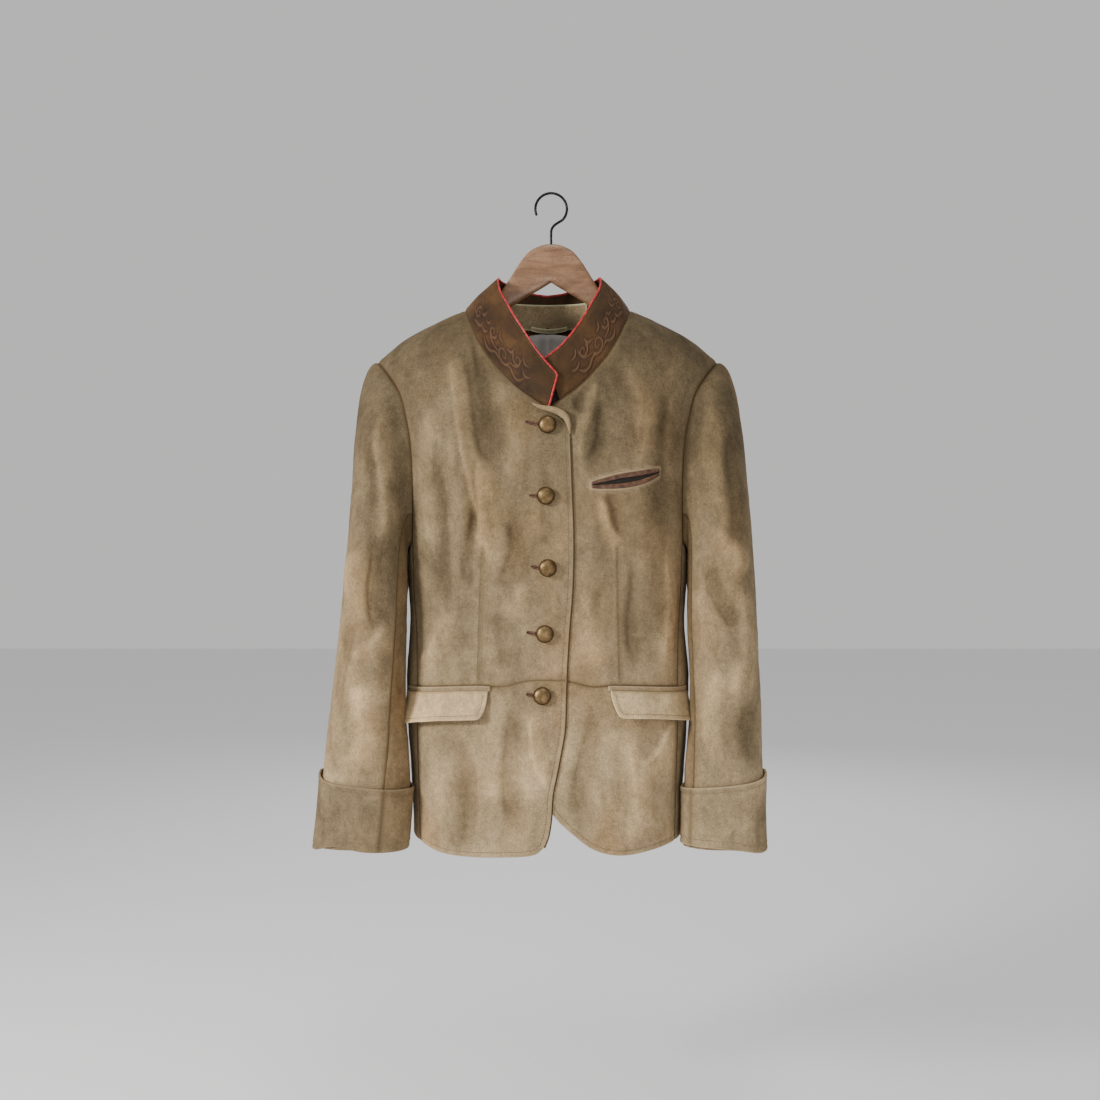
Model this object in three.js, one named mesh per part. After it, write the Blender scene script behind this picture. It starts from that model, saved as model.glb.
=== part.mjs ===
// A short suede jacket with a stand collar, hanging on a wooden hanger.
// Millimetres, +Z up, the front faces -Y. The origin is the inner top of the hook, where a rail holds it.
// "Right" and "left" are the wearer's: the right half lies at negative X.
// Heights are written as drops: millimetres below the origin.
import * as THREE from "three";
import { mergeVertices } from "three/addons/utils/BufferGeometryUtils.js";

// ---------------------------------------------------------------- driving dimensions

const SUEDE = 1.5; // wall of one layer of suede
const SEAM = 0.2; // how far each piece stops short of a seam
const JACKET_SHIFT = { x: -4.4, y: -4.8 }; // sets the shoulder line over the wood, a little to one side
const LAP = 1.2; // the right front is lifted and the left front is lowered by this where they lap
const LAP_FADE = { from: 30, to: 70 }; // distances out between which that shift dies away
const RIGHT = -1;
const LEFT = 1;

// Cross-sections of the body: half width, where it is widest, depth in front of and behind that place,
// and how square the section is.
const BODY = [
  { drop: 100, width: 215, middle: 4, front: 60, back: 38, square: 2.2 },
  { drop: 140, width: 215, middle: 5, front: 66, back: 41, square: 2.2 },
  { drop: 200, width: 212, middle: 6, front: 75, back: 46, square: 2.3 },
  { drop: 270, width: 186, middle: 8, front: 86, back: 49, square: 2.5 },
  { drop: 350, width: 172, middle: 10, front: 95, back: 47, square: 2.6 },
  { drop: 450, width: 168, middle: 13, front: 97, back: 38, square: 2.6 },
  { drop: 520, width: 165, middle: 15, front: 95, back: 33, square: 2.7 },
  { drop: 577, width: 169, middle: 15, front: 99, back: 38, square: 2.8 },
  { drop: 650, width: 166, middle: 15, front: 110, back: 43, square: 2.8 },
  { drop: 700, width: 162, middle: 15, front: 117, back: 46, square: 2.8 },
  { drop: 780, width: 159, middle: 15, front: 123, back: 48, square: 2.8 },
];

// The shoulder line, from the middle outwards, and how far below it the cloth has rounded over.
const SHOULDER = [
  { out: 0, drop: 118 },
  { out: 60, drop: 124 },
  { out: 99, drop: 141 },
  { out: 132, drop: 155.5 },
  { out: 168, drop: 174 },
  { out: 196, drop: 195.5 },
  { out: 204, drop: 202 },
  { out: 216, drop: 213 },
];
const SHOULDER_ROLL = 70;

// Seam lines on one half of the body, as distance out from the middle and drop.
const NECK_POINT = { out: 99, drop: 141 };
const SHOULDER_POINT = { out: 204, drop: 202 };
const FRONT_NECK = [
  { out: 99, drop: 141 },
  { out: 90, drop: 165 },
  { out: 79.5, drop: 188 },
  { out: 66, drop: 209 },
  { out: 48, drop: 230 },
  { out: 31, drop: 246 },
  { out: 14, drop: 258 },
  { out: 0, drop: 267.5 },
  { out: -25, drop: 287 },
];
const BACK_NECK = [
  { out: 99, drop: 141 },
  { out: 76, drop: 152 },
  { out: 52, drop: 158 },
  { out: 26, drop: 161.4 },
  { out: 0, drop: 162.4 },
];
const FRONT_ARMHOLE = [
  { out: 204, drop: 202 },
  { out: 186, drop: 224 },
  { out: 172, drop: 247 },
  { out: 165.6, drop: 271 },
  { out: 160.5, drop: 298 },
  { out: 158.3, drop: 324 },
  { out: 157.5, drop: 354 },
  { out: 157.8, drop: 386 },
  { out: 158.5, drop: 418 },
];
const BACK_ARMHOLE = [
  { out: 204, drop: 202 },
  { out: 190, drop: 226 },
  { out: 177, drop: 251 },
  { out: 169, drop: 277 },
  { out: 164.5, drop: 304 },
  { out: 162, drop: 332 },
  { out: 160.5, drop: 361 },
  { out: 160, drop: 390 },
  { out: 160, drop: 418 },
];
const UNDERARM_DIP = 19; // the armhole's lowest point, below the tops of the side seams
const SIDE_WAIST_OUT = 151.5; // where the side seams cross the waist seam
const FRONT_SIDE_SEAM = [
  { drop: 418, out: 158.5 },
  { drop: 475, out: 157 },
  { drop: 521, out: 154 },
  { drop: 577, out: SIDE_WAIST_OUT },
  { drop: 640, out: 151 },
  { drop: 700, out: 149 },
  { drop: 770, out: 147 },
];
const BACK_SIDE_SEAM = [
  { drop: 418, out: 160 },
  { drop: 475, out: 158 },
  { drop: 521, out: 155 },
  { drop: 577, out: 156 },
  { drop: 640, out: 154 },
  { drop: 700, out: 151 },
  { drop: 770, out: 148 },
];
const WAIST = [
  { out: -30, drop: 575.5 },
  { out: 20, drop: 575.5 },
  { out: 50, drop: 582 },
  { out: 75, drop: 581 },
  { out: 115, drop: 583 },
  { out: 155, drop: 586 },
];
const RIGHT_EDGE = [
  { drop: 287, out: -25 },
  { drop: 350, out: -27 },
  { drop: 417, out: -29.3 },
  { drop: 473, out: -28.2 },
  { drop: 518, out: -24.8 },
  { drop: 575.5, out: -21.5 },
  { drop: 629, out: -19.6 },
  { drop: 656, out: -15 },
  { drop: 678, out: -10.6 },
  { drop: 700, out: -6 },
  { drop: 727, out: -4 },
  { drop: 745, out: -1 },
  { drop: 757, out: 3.5 },
];
const RIGHT_HEM = [
  { out: 3.5, drop: 757 },
  { out: 14, drop: 765 },
  { out: 42, drop: 768 },
  { out: 86, drop: 769.5 },
  { out: 121, drop: 768.5 },
  { out: 147, drop: 762 },
];
const LEFT_EDGE = [
  { drop: 287, out: -25 },
  { drop: 575.5, out: -23 },
  { drop: 640, out: -19 },
  { drop: 680, out: -10 },
  { drop: 708, out: -1 },
  { drop: 727, out: 10.5 },
  { drop: 741, out: 25 },
];
const LEFT_HEM = [
  { out: 25, drop: 741 },
  { out: 47, drop: 757.8 },
  { out: 69, drop: 766 },
  { out: 90, drop: 768 },
  { out: 122, drop: 765 },
  { out: 147, drop: 762 },
];
const SIDE_HEM_DROP = 762;
const BACK_HEM_DROP = 752;

// Soft folds pressed into the fronts by hanging: each runs between two points, with a half width and a rise.
const FOLDS = [
  { side: RIGHT, out: 88, drop: 185, endOut: 52, endDrop: 400, half: 13, rise: 4 },
  { side: RIGHT, out: 111, drop: 230, endOut: 90, endDrop: 440, half: 11, rise: 3.5 },
  { side: RIGHT, out: 80, drop: 300, endOut: 76, endDrop: 470, half: 9, rise: -3 },
  { side: RIGHT, out: 24, drop: 600, endOut: 2, endDrop: 740, half: 14, rise: 4 },
  { side: RIGHT, out: 120, drop: 625, endOut: 108, endDrop: 770, half: 22, rise: 3.5 },
  { side: LEFT, out: 58, drop: 235, endOut: 38, endDrop: 350, half: 14, rise: 3.5 },
  { side: LEFT, out: 56, drop: 370, endOut: 80, endDrop: 460, half: 13, rise: -3 },
  { side: LEFT, out: 112, drop: 390, endOut: 104, endDrop: 560, half: 15, rise: 3 },
  { side: LEFT, out: 70, drop: 630, endOut: 62, endDrop: 770, half: 20, rise: 4 },
  { side: LEFT, out: 128, drop: 625, endOut: 120, endDrop: 765, half: 15, rise: -3 },
];

// Cross-sections of each hanging sleeve: its outer and inner edge, middle and half depth,
// and the place of its front seam in degrees round from the outer edge.
const SLEEVE = {
  [RIGHT]: [
    { drop: 455, outer: 238, inner: 161, middle: -14, deep: 68, seam: 136 },
    { drop: 510, outer: 242.5, inner: 163, middle: -22, deep: 62, seam: 137 },
    { drop: 560, outer: 247, inner: 163.5, middle: -30, deep: 57, seam: 134 },
    { drop: 610, outer: 252, inner: 162.5, middle: -36, deep: 51, seam: 129 },
    { drop: 650, outer: 256, inner: 158.5, middle: -41, deep: 46, seam: 123 },
    { drop: 690, outer: 260, inner: 156, middle: -45, deep: 41, seam: 117 },
    { drop: 735, outer: 264, inner: 158.5, middle: -49, deep: 36, seam: 116 },
    { drop: 780, outer: 268, inner: 164, middle: -53, deep: 32, seam: 116 },
  ],
  [LEFT]: [
    { drop: 455, outer: 243, inner: 161, middle: -14, deep: 68, seam: 148 },
    { drop: 510, outer: 245, inner: 162, middle: -22, deep: 62, seam: 152 },
    { drop: 560, outer: 246.5, inner: 163.5, middle: -30, deep: 57, seam: 153 },
    { drop: 610, outer: 248, inner: 163.5, middle: -36, deep: 51, seam: 149 },
    { drop: 650, outer: 248.5, inner: 160, middle: -41, deep: 46, seam: 144 },
    { drop: 690, outer: 249, inner: 156.5, middle: -45, deep: 41, seam: 140 },
    { drop: 735, outer: 249, inner: 155, middle: -49, deep: 36, seam: 140 },
    { drop: 780, outer: 250, inner: 154.5, middle: -53, deep: 32, seam: 140 },
  ],
};
const SLEEVE_BACK_SEAM = 238; // degrees round from the outer edge, by way of the front
const SLEEVE_SQUARE = 2.3;
const SLEEVE_CLEARANCE = { armpit: 3.5, from: 450, hanging: 6.5, to: 500, soft: 3 }; // beside the body
const SLEEVE_HEAD = { seam: 0.4, puff: 100, leave: 0.45, arrive: 0.95 }; // how it bends out and down
const SLEEVE_END_DROP = 732; // the sleeve ends inside its cuff
const CUFF = { wall: 2, play: 0.5, flare: 1, bottom: 771 };
const CUFF_TOP = [
  { angle: 0, drop: 682 },
  { angle: 45, drop: 689 },
  { angle: 100, drop: 694 },
  { angle: 180, drop: 700 },
  { angle: 270, drop: 690 },
  { angle: 360, drop: 682 },
];

// The collar's upper edge, from the middle of the back to the front end of each half.
const COLLAR_WALL = 2.2;
const COLLAR_BOW = 2.5; // how far the collar's middle stands out from a straight line
const COLLAR_SEAM = 0.8; // between the collar's foot and the neck edge
const COLLAR_TOP = {
  [RIGHT]: [
    { out: 0, y: 40, drop: 116 },
    { out: 21, y: 37, drop: 113.5 },
    { out: 42, y: 28, drop: 108 },
    { out: 56, y: 12, drop: 104.5 },
    { out: 60, y: -10, drop: 105 },
    { out: 57, y: -27, drop: 122 },
    { out: 49, y: -43, drop: 139.5 },
    { out: 40, y: -55, drop: 157 },
    { out: 28, y: -65, drop: 177 },
    { out: 10, y: -74, drop: 205 },
    { out: -10.5, y: -79, drop: 229.5 },
  ],
  [LEFT]: [
    { out: 0, y: 40, drop: 116 },
    { out: 21, y: 37, drop: 113.5 },
    { out: 42, y: 28, drop: 107.5 },
    { out: 58, y: 12, drop: 104 },
    { out: 64.5, y: -10, drop: 104.5 },
    { out: 62, y: -27, drop: 121 },
    { out: 54, y: -43, drop: 137.5 },
    { out: 44, y: -55, drop: 157 },
    { out: 31, y: -63, drop: 177 },
    { out: 15, y: -67.5, drop: 196 },
    { out: -5, y: -70.5, drop: 212 },
  ],
};
const PIPING_RADIUS = 1.3;
const PIPING_PLAY = 0.9; // between the piping and the collar's edge

const BACK_FACING = { halfWidth: 48, top: 126, bottom: 158, endRise: 5, wall: 1.2, play: 0.4 };
const LINING = { wall: 1, play: 2.8, top: 160, dip: 82, bottom: 726, half: 145 };
const PLEAT = { deep: 5, half: 7, fade: 0.7 }; // down the middle of the lining, flatter lower down

const LOOP = { aside: 2, halfWidth: 22, drop: 149, sag: 3.5, band: 5, wall: 1.2, play: 0.9, stand: 2.4 };

const FLAP_FROM = { [RIGHT]: 68, [LEFT]: 72 };
const FLAP = { to: 161, under: 0.6, height: 34, corner: 8, wall: 2.4, play: 1.1, flare: 1.8 };
const WELT = { height: 5, wall: 1.2, over: 2, play: 0.9 };
const BREAST_POCKET = { from: 50.5, to: 127.5, fromDrop: 352.5, toDrop: 339.5 };
const JET = { height: 4.2, wall: 1.4, play: 0.5, slit: 0.8, swell: 2.2, round: 0.6 };

const BUTTONS = [
  { out: 0, drop: 287 },
  { out: 1.7, drop: 367.3 },
  { out: -0.6, drop: 448.3 },
  { out: 2.8, drop: 522.8 },
  { out: 5.6, drop: 592 },
];
const BUTTON = { radius: 10, dome: 6.6, rim: 1.4, edge: 0.5, shank: 2.6, shankHeight: 2.6, play: 0.6 };

// The hanger's wood, from the middle to one end: its top and bottom drop and its thickness.
const HANGER = [
  { out: 0, top: 60, bottom: 107, thick: 12 },
  { out: 8, top: 60.6, bottom: 108.5, thick: 12 },
  { out: 17, top: 63.5, bottom: 113, thick: 12 },
  { out: 27, top: 69.5, bottom: 119.5, thick: 12.5 },
  { out: 38, top: 83, bottom: 128, thick: 13.5 },
  { out: 50, top: 102, bottom: 137, thick: 15 },
  { out: 64, top: 122, bottom: 148, thick: 15.5 },
  { out: 85, top: 144, bottom: 164, thick: 15 },
  { out: 110, top: 151, bottom: 179, thick: 15 },
  { out: 140, top: 165.5, bottom: 193, thick: 15 },
  { out: 165, top: 179.5, bottom: 205, thick: 14 },
  { out: 183, top: 193, bottom: 212, thick: 10 },
];
const HANGER_SIT = 0.7; // play between the wood and the shoulders
const HANGER_SIDES = 10;
const HOOK = { wire: 1.6, bend: 19, foot: 59.7, neck: 42, from: -50, to: 205, step: 15 };

const COLOURS = {
  suede: 0x96846a,
  collar: 0x6b4c32,
  piping: 0xb63a3a,
  lining: 0x8d8c8a,
  jet: 0x4a3222,
  button: 0x6f5a3e,
  wood: 0xc2997c,
  hook: 0x1b1b1b,
};

// ---------------------------------------------------------------- curves

const clamp = (value, low, high) => Math.min(Math.max(value, low), high);
const mix = (a, b, t) => a + (b - a) * t;

// A smooth curve through one column of a table, read at any place in another column.
function through(rows, at, column) {
  const t = rows.map((row) => row[at]);
  const v = rows.map((row) => row[column]);
  const slope = (k) => {
    const a = Math.max(k - 1, 0);
    const b = Math.min(k + 1, v.length - 1);
    return (v[b] - v[a]) / (t[b] - t[a]);
  };
  return (place) => {
    const here = clamp(place, t[0], t.at(-1));
    let i = 0;
    while (i < t.length - 2 && here > t[i + 1]) i += 1;
    const step = t[i + 1] - t[i];
    const s = (here - t[i]) / step;
    const start = (2 * s ** 3 - 3 * s * s + 1) * v[i] + (s ** 3 - 2 * s * s + s) * step * slope(i);
    const end = (3 * s * s - 2 * s ** 3) * v[i + 1] + (s ** 3 - s * s) * step * slope(i + 1);
    return start + end;
  };
}

// A smooth line through table rows, read from 0 to 1 by row number.
function line(rows, ...columns) {
  const numbered = rows.map((row, i) => ({ ...row, i: i / (rows.length - 1) }));
  const curves = columns.map((column) => through(numbered, "i", column));
  return (t) => curves.map((curve) => curve(t));
}

// ---------------------------------------------------------------- the body's surface

const body = {
  width: through(BODY, "drop", "width"),
  middle: through(BODY, "drop", "middle"),
  front: through(BODY, "drop", "front"),
  back: through(BODY, "drop", "back"),
  square: through(BODY, "drop", "square"),
};
const shoulderDrop = through(SHOULDER, "out", "drop");

// 0 on the shoulder line, 1 where the cloth hangs at its full depth.
function rolled(out, drop) {
  const t = clamp((drop - shoulderDrop(Math.abs(out))) / SHOULDER_ROLL, 0, 1);
  return Math.sqrt(1 - (1 - t) ** 2);
}

// How far the folds push the front outwards at one place.
function folded(x, drop) {
  let sum = 0;
  for (const fold of FOLDS) {
    const t = (drop - fold.drop) / (fold.endDrop - fold.drop);
    if (t < 0 || t > 1) continue;
    const across = (x * fold.side - mix(fold.out, fold.endOut, t)) / fold.half;
    sum += fold.rise * Math.sin(Math.PI * t) ** 0.7 * Math.exp(-across * across);
  }
  return sum;
}

// The angle round the section, 0 at the middle of the front, for a distance out from the middle.
function angleAt(out, drop, behind = false) {
  const n = body.square(drop);
  const u = Math.min(Math.abs(out) / body.width(drop), 0.9999);
  const angle = Math.atan2(u, (1 - u ** n) ** (1 / n)) * Math.sign(out || 1);
  return behind ? Math.PI * Math.sign(out || 1) - angle : angle;
}

const NEARBY = { angle: 0.01, drop: 0.6 }; // steps for a normal

function bodyPoint(angle, drop, lift = 0) {
  const at = (a, d) => {
    const n = body.square(d);
    const s = Math.sin(a);
    const c = Math.cos(a);
    const r = (Math.abs(s) ** n + Math.abs(c) ** n) ** (-1 / n);
    const x = body.width(d) * s * r;
    const deep = c > 0 ? body.front(d) : body.back(d);
    const y = body.middle(d) - deep * c * r * rolled(x, d) - (c > 0 ? folded(x, d) : 0);
    return new THREE.Vector3(x, y, -d);
  };
  const here = at(angle, drop);
  const across = at(angle + NEARBY.angle, drop).sub(at(angle - NEARBY.angle, drop));
  const down = at(angle, drop + NEARBY.drop).sub(here);
  const normal = down.cross(across).normalize();
  return { point: here.addScaledVector(normal, lift), normal };
}

// How far from the middle the body reaches at a given depth.
function bodySide(y, drop) {
  const ahead = body.middle(drop) - y;
  const deep = ahead > 0 ? body.front(drop) : body.back(drop);
  const n = body.square(drop);
  return body.width(drop) * Math.max(1 - (Math.abs(ahead) / deep) ** n, 0) ** (1 / n);
}

// ---------------------------------------------------------------- walls

// A closed wall from a grid of outer points and normals. A grid may close on itself along its columns.
function wall(grid, thickness, closed = false) {
  const rows = grid[0].length;
  const columns = grid.length;
  const positions = [];
  for (const column of grid) for (const { point } of column) positions.push(...point.toArray());
  for (const column of grid) {
    for (const { point, normal } of column) {
      positions.push(...point.clone().addScaledVector(normal, -thickness).toArray());
    }
  }
  const outer = (i, j) => (i % columns) * rows + j;
  const inner = (i, j) => outer(i, j) + columns * rows;
  const index = [];
  const face = (a, b, c, d) => index.push(a, b, c, a, c, d);
  const cells = closed ? columns : columns - 1;
  for (let i = 0; i < cells; i += 1) {
    for (let j = 0; j < rows - 1; j += 1) {
      face(outer(i, j), outer(i + 1, j), outer(i + 1, j + 1), outer(i, j + 1));
      face(inner(i, j), inner(i, j + 1), inner(i + 1, j + 1), inner(i + 1, j));
    }
    face(outer(i, 0), inner(i, 0), inner(i + 1, 0), outer(i + 1, 0));
    face(outer(i, rows - 1), outer(i + 1, rows - 1), inner(i + 1, rows - 1), inner(i, rows - 1));
  }
  if (!closed) {
    for (let j = 0; j < rows - 1; j += 1) {
      face(outer(0, j), outer(0, j + 1), inner(0, j + 1), inner(0, j));
      face(outer(cells, j), inner(cells, j), inner(cells, j + 1), outer(cells, j + 1));
    }
  }
  return facingOut(positions, index);
}

// A geometry whose faces point out, whichever way round its rings were given.
function facingOut(positions, index) {
  const corner = (i) => new THREE.Vector3().fromArray(positions, 3 * index[i]);
  let volume = 0;
  for (let i = 0; i < index.length; i += 3) volume += corner(i).dot(corner(i + 1).cross(corner(i + 2)));
  if (volume < 0) {
    for (let i = 0; i < index.length; i += 3) [index[i], index[i + 1]] = [index[i + 1], index[i]];
  }
  const geometry = new THREE.BufferGeometry();
  geometry.setAttribute("position", new THREE.Float32BufferAttribute(positions, 3));
  geometry.setIndex(index);
  geometry.computeVertexNormals();
  return geometry;
}

// Pulls the outermost points of a grid back from the seams.
function trimmed(grid, gap = SEAM) {
  const columns = grid.length - 1;
  const rows = grid[0].length - 1;
  const shift = grid.map((column, i) =>
    column.map(({ point }, j) => {
      const move = new THREE.Vector3();
      const towards = (k, l) => move.add(grid[k][l].point.clone().sub(point).setLength(gap));
      if (i === 0) towards(1, j);
      if (i === columns) towards(columns - 1, j);
      if (j === 0) towards(i, 1);
      if (j === rows) towards(i, rows - 1);
      return move;
    }),
  );
  grid.forEach((column, i) => column.forEach((corner, j) => corner.point.add(shift[i][j])));
  return grid;
}

const EDGE_FADE = 4;

// A patch between four edges, each a list of places: left and right run down, top and bottom run across.
// The shape of the left edge fades quickly, so that a hollow armhole doesn't pull on the neck.
function patch(left, right, top, bottom, place) {
  const columns = top.length - 1;
  const rows = left.length - 1;
  const grid = [];
  for (let i = 0; i <= columns; i += 1) {
    const u = 1 - (1 - i / columns) ** EDGE_FADE;
    grid.push([]);
    for (let j = 0; j <= rows; j += 1) {
      const v = j / rows;
      const at = [0, 1].map((k) => {
        const across = mix(left[j][k], right[j][k], u) + mix(top[i][k], bottom[i][k], v);
        const corners = mix(mix(top[0][k], top[columns][k], u), mix(bottom[0][k], bottom[columns][k], u), v);
        return across - corners;
      });
      grid[i].push(place(at[0], at[1], u, v));
    }
  }
  return grid;
}

// Grid normals, for a surface that is known only by its points.
function withNormals(points, closed = false) {
  const columns = points.length;
  const rows = points[0].length;
  const column = (i) => points[closed ? (i + columns) % columns : clamp(i, 0, columns - 1)];
  return points.map((ring, i) =>
    ring.map((point, j) => {
      const across = column(i + 1)[j].clone().sub(column(i - 1)[j]);
      const along = ring[Math.min(j + 1, rows - 1)].clone().sub(ring[Math.max(j - 1, 0)]);
      return { point, normal: across.cross(along).normalize() };
    }),
  );
}

// ---------------------------------------------------------------- body panels

const SHOULDER_CELLS = 4;
const SIDE_CELLS = 5;
const SIDE_ROWS = 5;
const SKIRT_ROWS = 6;

const spread = (count, place) => Array.from({ length: count + 1 }, (_, i) => place(i / count));
const onFront = ({ out, drop }) => [angleAt(out, drop), drop];
const onBack = ({ out, drop }) => [angleAt(out, drop, true), drop];

const shoulderSeam = spread(SHOULDER_CELLS, (t) => {
  const out = mix(SHOULDER_POINT.out, NECK_POINT.out, t);
  return { out, drop: shoulderDrop(out) };
});

function seamPlaces(table, from, to, rows) {
  const out = through(table, "drop", "out");
  return spread(rows, (t) => ({ out: out(mix(from, to, t)), drop: mix(from, to, t) }));
}

const UNDERARM = FRONT_ARMHOLE.at(-1).drop;
const waistDrop = through(WAIST, "out", "drop");
const sideWaist = waistDrop(SIDE_WAIST_OUT);

// The lap: the right front lies over the left one.
function lapLift(side, out) {
  const t = clamp((LAP_FADE.to - out) / (LAP_FADE.to - LAP_FADE.from), 0, 1);
  return -side * LAP * t * t * (3 - 2 * t);
}

function frontPlace(side) {
  return (angle, drop) => {
    const corner = bodyPoint(angle * side, drop);
    const out = corner.point.x * side;
    corner.point.addScaledVector(corner.normal, lapLift(side, out));
    const seamPlane = body.middle(drop) - SEAM;
    corner.point.y = Math.min(corner.point.y, seamPlane);
    return keepAhead(corner, seamPlane);
  };
}

// Keeps both faces of a wall on one side of the shoulder seam.
function keepAhead(corner, plane, side = 1) {
  const behind = corner.point.y - SUEDE * corner.normal.y;
  if ((behind - plane) * side > 0) {
    corner.normal.y = (corner.point.y - plane) / SUEDE;
    corner.normal.normalize();
  }
  return corner;
}

function upperFront(side) {
  const edge = side === RIGHT ? RIGHT_EDGE : LEFT_EDGE;
  const armhole = FRONT_ARMHOLE.map(onFront);
  const sideSeam = seamPlaces(FRONT_SIDE_SEAM, UNDERARM, sideWaist, SIDE_ROWS).map(onFront);
  const outer = [...armhole, ...sideSeam.slice(1)];
  const edgeTop = FRONT_NECK.at(-1).drop;
  const edgeOut = through(edge, "drop", "out");
  const waistEnd = waistDrop(edgeOut(WAIST[0].drop));
  const frontEdge = spread(outer.length - 1, (t) => {
    const drop = mix(edgeTop, waistEnd, t);
    return onFront({ out: edgeOut(drop), drop });
  });
  const top = [...shoulderSeam, ...FRONT_NECK.slice(1)].map(onFront);
  top[top.length - 1] = frontEdge[0];
  const waist = spread(top.length - 1, (t) => {
    const out = mix(SIDE_WAIST_OUT, edgeOut(WAIST[0].drop), t);
    return onFront({ out, drop: waistDrop(out) });
  });
  waist[0] = outer.at(-1);
  waist[waist.length - 1] = frontEdge.at(-1);
  return wall(trimmed(patch(outer, frontEdge, top, waist, frontPlace(side))), SUEDE);
}

function skirtFront(side) {
  const edge = side === RIGHT ? RIGHT_EDGE : LEFT_EDGE;
  const hem = line(side === RIGHT ? RIGHT_HEM : LEFT_HEM, "out", "drop");
  const columns = shoulderSeam.length + FRONT_NECK.length - 2;
  const edgeOut = through(edge, "drop", "out");
  const waistEnd = waistDrop(edgeOut(WAIST[0].drop));
  const bottomDrop = edge.at(-1).drop;
  const sideSeam = seamPlaces(FRONT_SIDE_SEAM, sideWaist, SIDE_HEM_DROP, SKIRT_ROWS).map(onFront);
  const frontEdge = spread(SKIRT_ROWS, (t) => {
    const drop = mix(waistEnd, bottomDrop, 1 - (1 - t) ** 1.4);
    return onFront({ out: edgeOut(drop), drop });
  });
  const waist = spread(columns, (t) => {
    const out = mix(SIDE_WAIST_OUT, edgeOut(WAIST[0].drop), t);
    return onFront({ out, drop: waistDrop(out) });
  });
  waist[0] = sideSeam[0];
  waist[columns] = frontEdge[0];
  const bottom = spread(columns, (t) => {
    const [out, drop] = hem(1 - t);
    return onFront({ out, drop });
  });
  bottom[0] = sideSeam.at(-1);
  bottom[columns] = frontEdge.at(-1);
  return wall(trimmed(patch(sideSeam, frontEdge, waist, bottom, frontPlace(side))), SUEDE);
}

// Angles at the two ends of the side panel, all down its length.
function sidePlaces(table, behind) {
  const upper = seamPlaces(table, UNDERARM, sideWaist, SIDE_ROWS);
  const endDrop = behind ? mix(SIDE_HEM_DROP, BACK_HEM_DROP, 0.8) : SIDE_HEM_DROP;
  const lower = seamPlaces(table, sideWaist, endDrop, SKIRT_ROWS);
  return [...upper, ...lower.slice(1)].map(behind ? onBack : onFront);
}

const frontSide = sidePlaces(FRONT_SIDE_SEAM, false);
const backSide = sidePlaces(BACK_SIDE_SEAM, true);
const underarm = spread(SIDE_CELLS, (t) => [
  mix(frontSide[0][0], backSide[0][0], t),
  UNDERARM + UNDERARM_DIP * Math.sin(Math.PI * t) ** 0.8,
]);

function sidePanel(side) {
  const hem = spread(SIDE_CELLS, (t) => [
    mix(frontSide.at(-1)[0], backSide.at(-1)[0], t),
    mix(frontSide.at(-1)[1], backSide.at(-1)[1], t),
  ]);
  const place = (angle, drop) => bodyPoint(angle * side, drop);
  return wall(trimmed(patch(frontSide, backSide, underarm, hem, place)), SUEDE);
}

function backPanel(side) {
  const outer = [...BACK_ARMHOLE.map(onBack), ...backSide.slice(1)];
  const top = [...shoulderSeam, ...BACK_NECK.slice(1)].map(onBack);
  const neckDrop = BACK_NECK.at(-1).drop;
  const middleBack = spread(outer.length - 1, (t) => [Math.PI, mix(neckDrop, BACK_HEM_DROP, t)]);
  top[top.length - 1] = middleBack[0];
  const hem = spread(top.length - 1, (t) => [
    mix(outer.at(-1)[0], Math.PI, t),
    mix(outer.at(-1)[1], BACK_HEM_DROP, t),
  ]);
  const place = (angle, drop) => {
    const corner = bodyPoint(angle * side, drop);
    const seamPlane = body.middle(drop) + SEAM;
    corner.point.y = Math.max(corner.point.y, seamPlane);
    return keepAhead(corner, seamPlane, -1);
  };
  return wall(trimmed(patch(outer, middleBack, top, hem, place)), SUEDE);
}

// ---------------------------------------------------------------- sleeves and cuffs

const CAP_ROWS = 6;
const ARM_ROWS = 8;
const CUFF_ROWS = 3;

// The armhole, once round from the shoulder point down the front, under the arm and up the back.
const armhole = [
  ...FRONT_ARMHOLE.map(onFront),
  ...underarm.slice(1),
  ...BACK_ARMHOLE.map(onBack).reverse().slice(1, -1),
];
const FRONT_SEAM_AT = FRONT_ARMHOLE.length - 2;
const BACK_SEAM_AT = armhole.length - FRONT_SEAM_AT;

// The share of the way round the armhole at each of its points, in degrees.
const armholeTurn = (() => {
  const points = armhole.map(([angle, drop]) => bodyPoint(angle, drop).point);
  const run = [0];
  points.forEach((p, i) => run.push(run[i] + p.distanceTo(points[(i + 1) % points.length])));
  return run.slice(0, -1).map((length) => (360 * length) / run.at(-1));
})();

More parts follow.
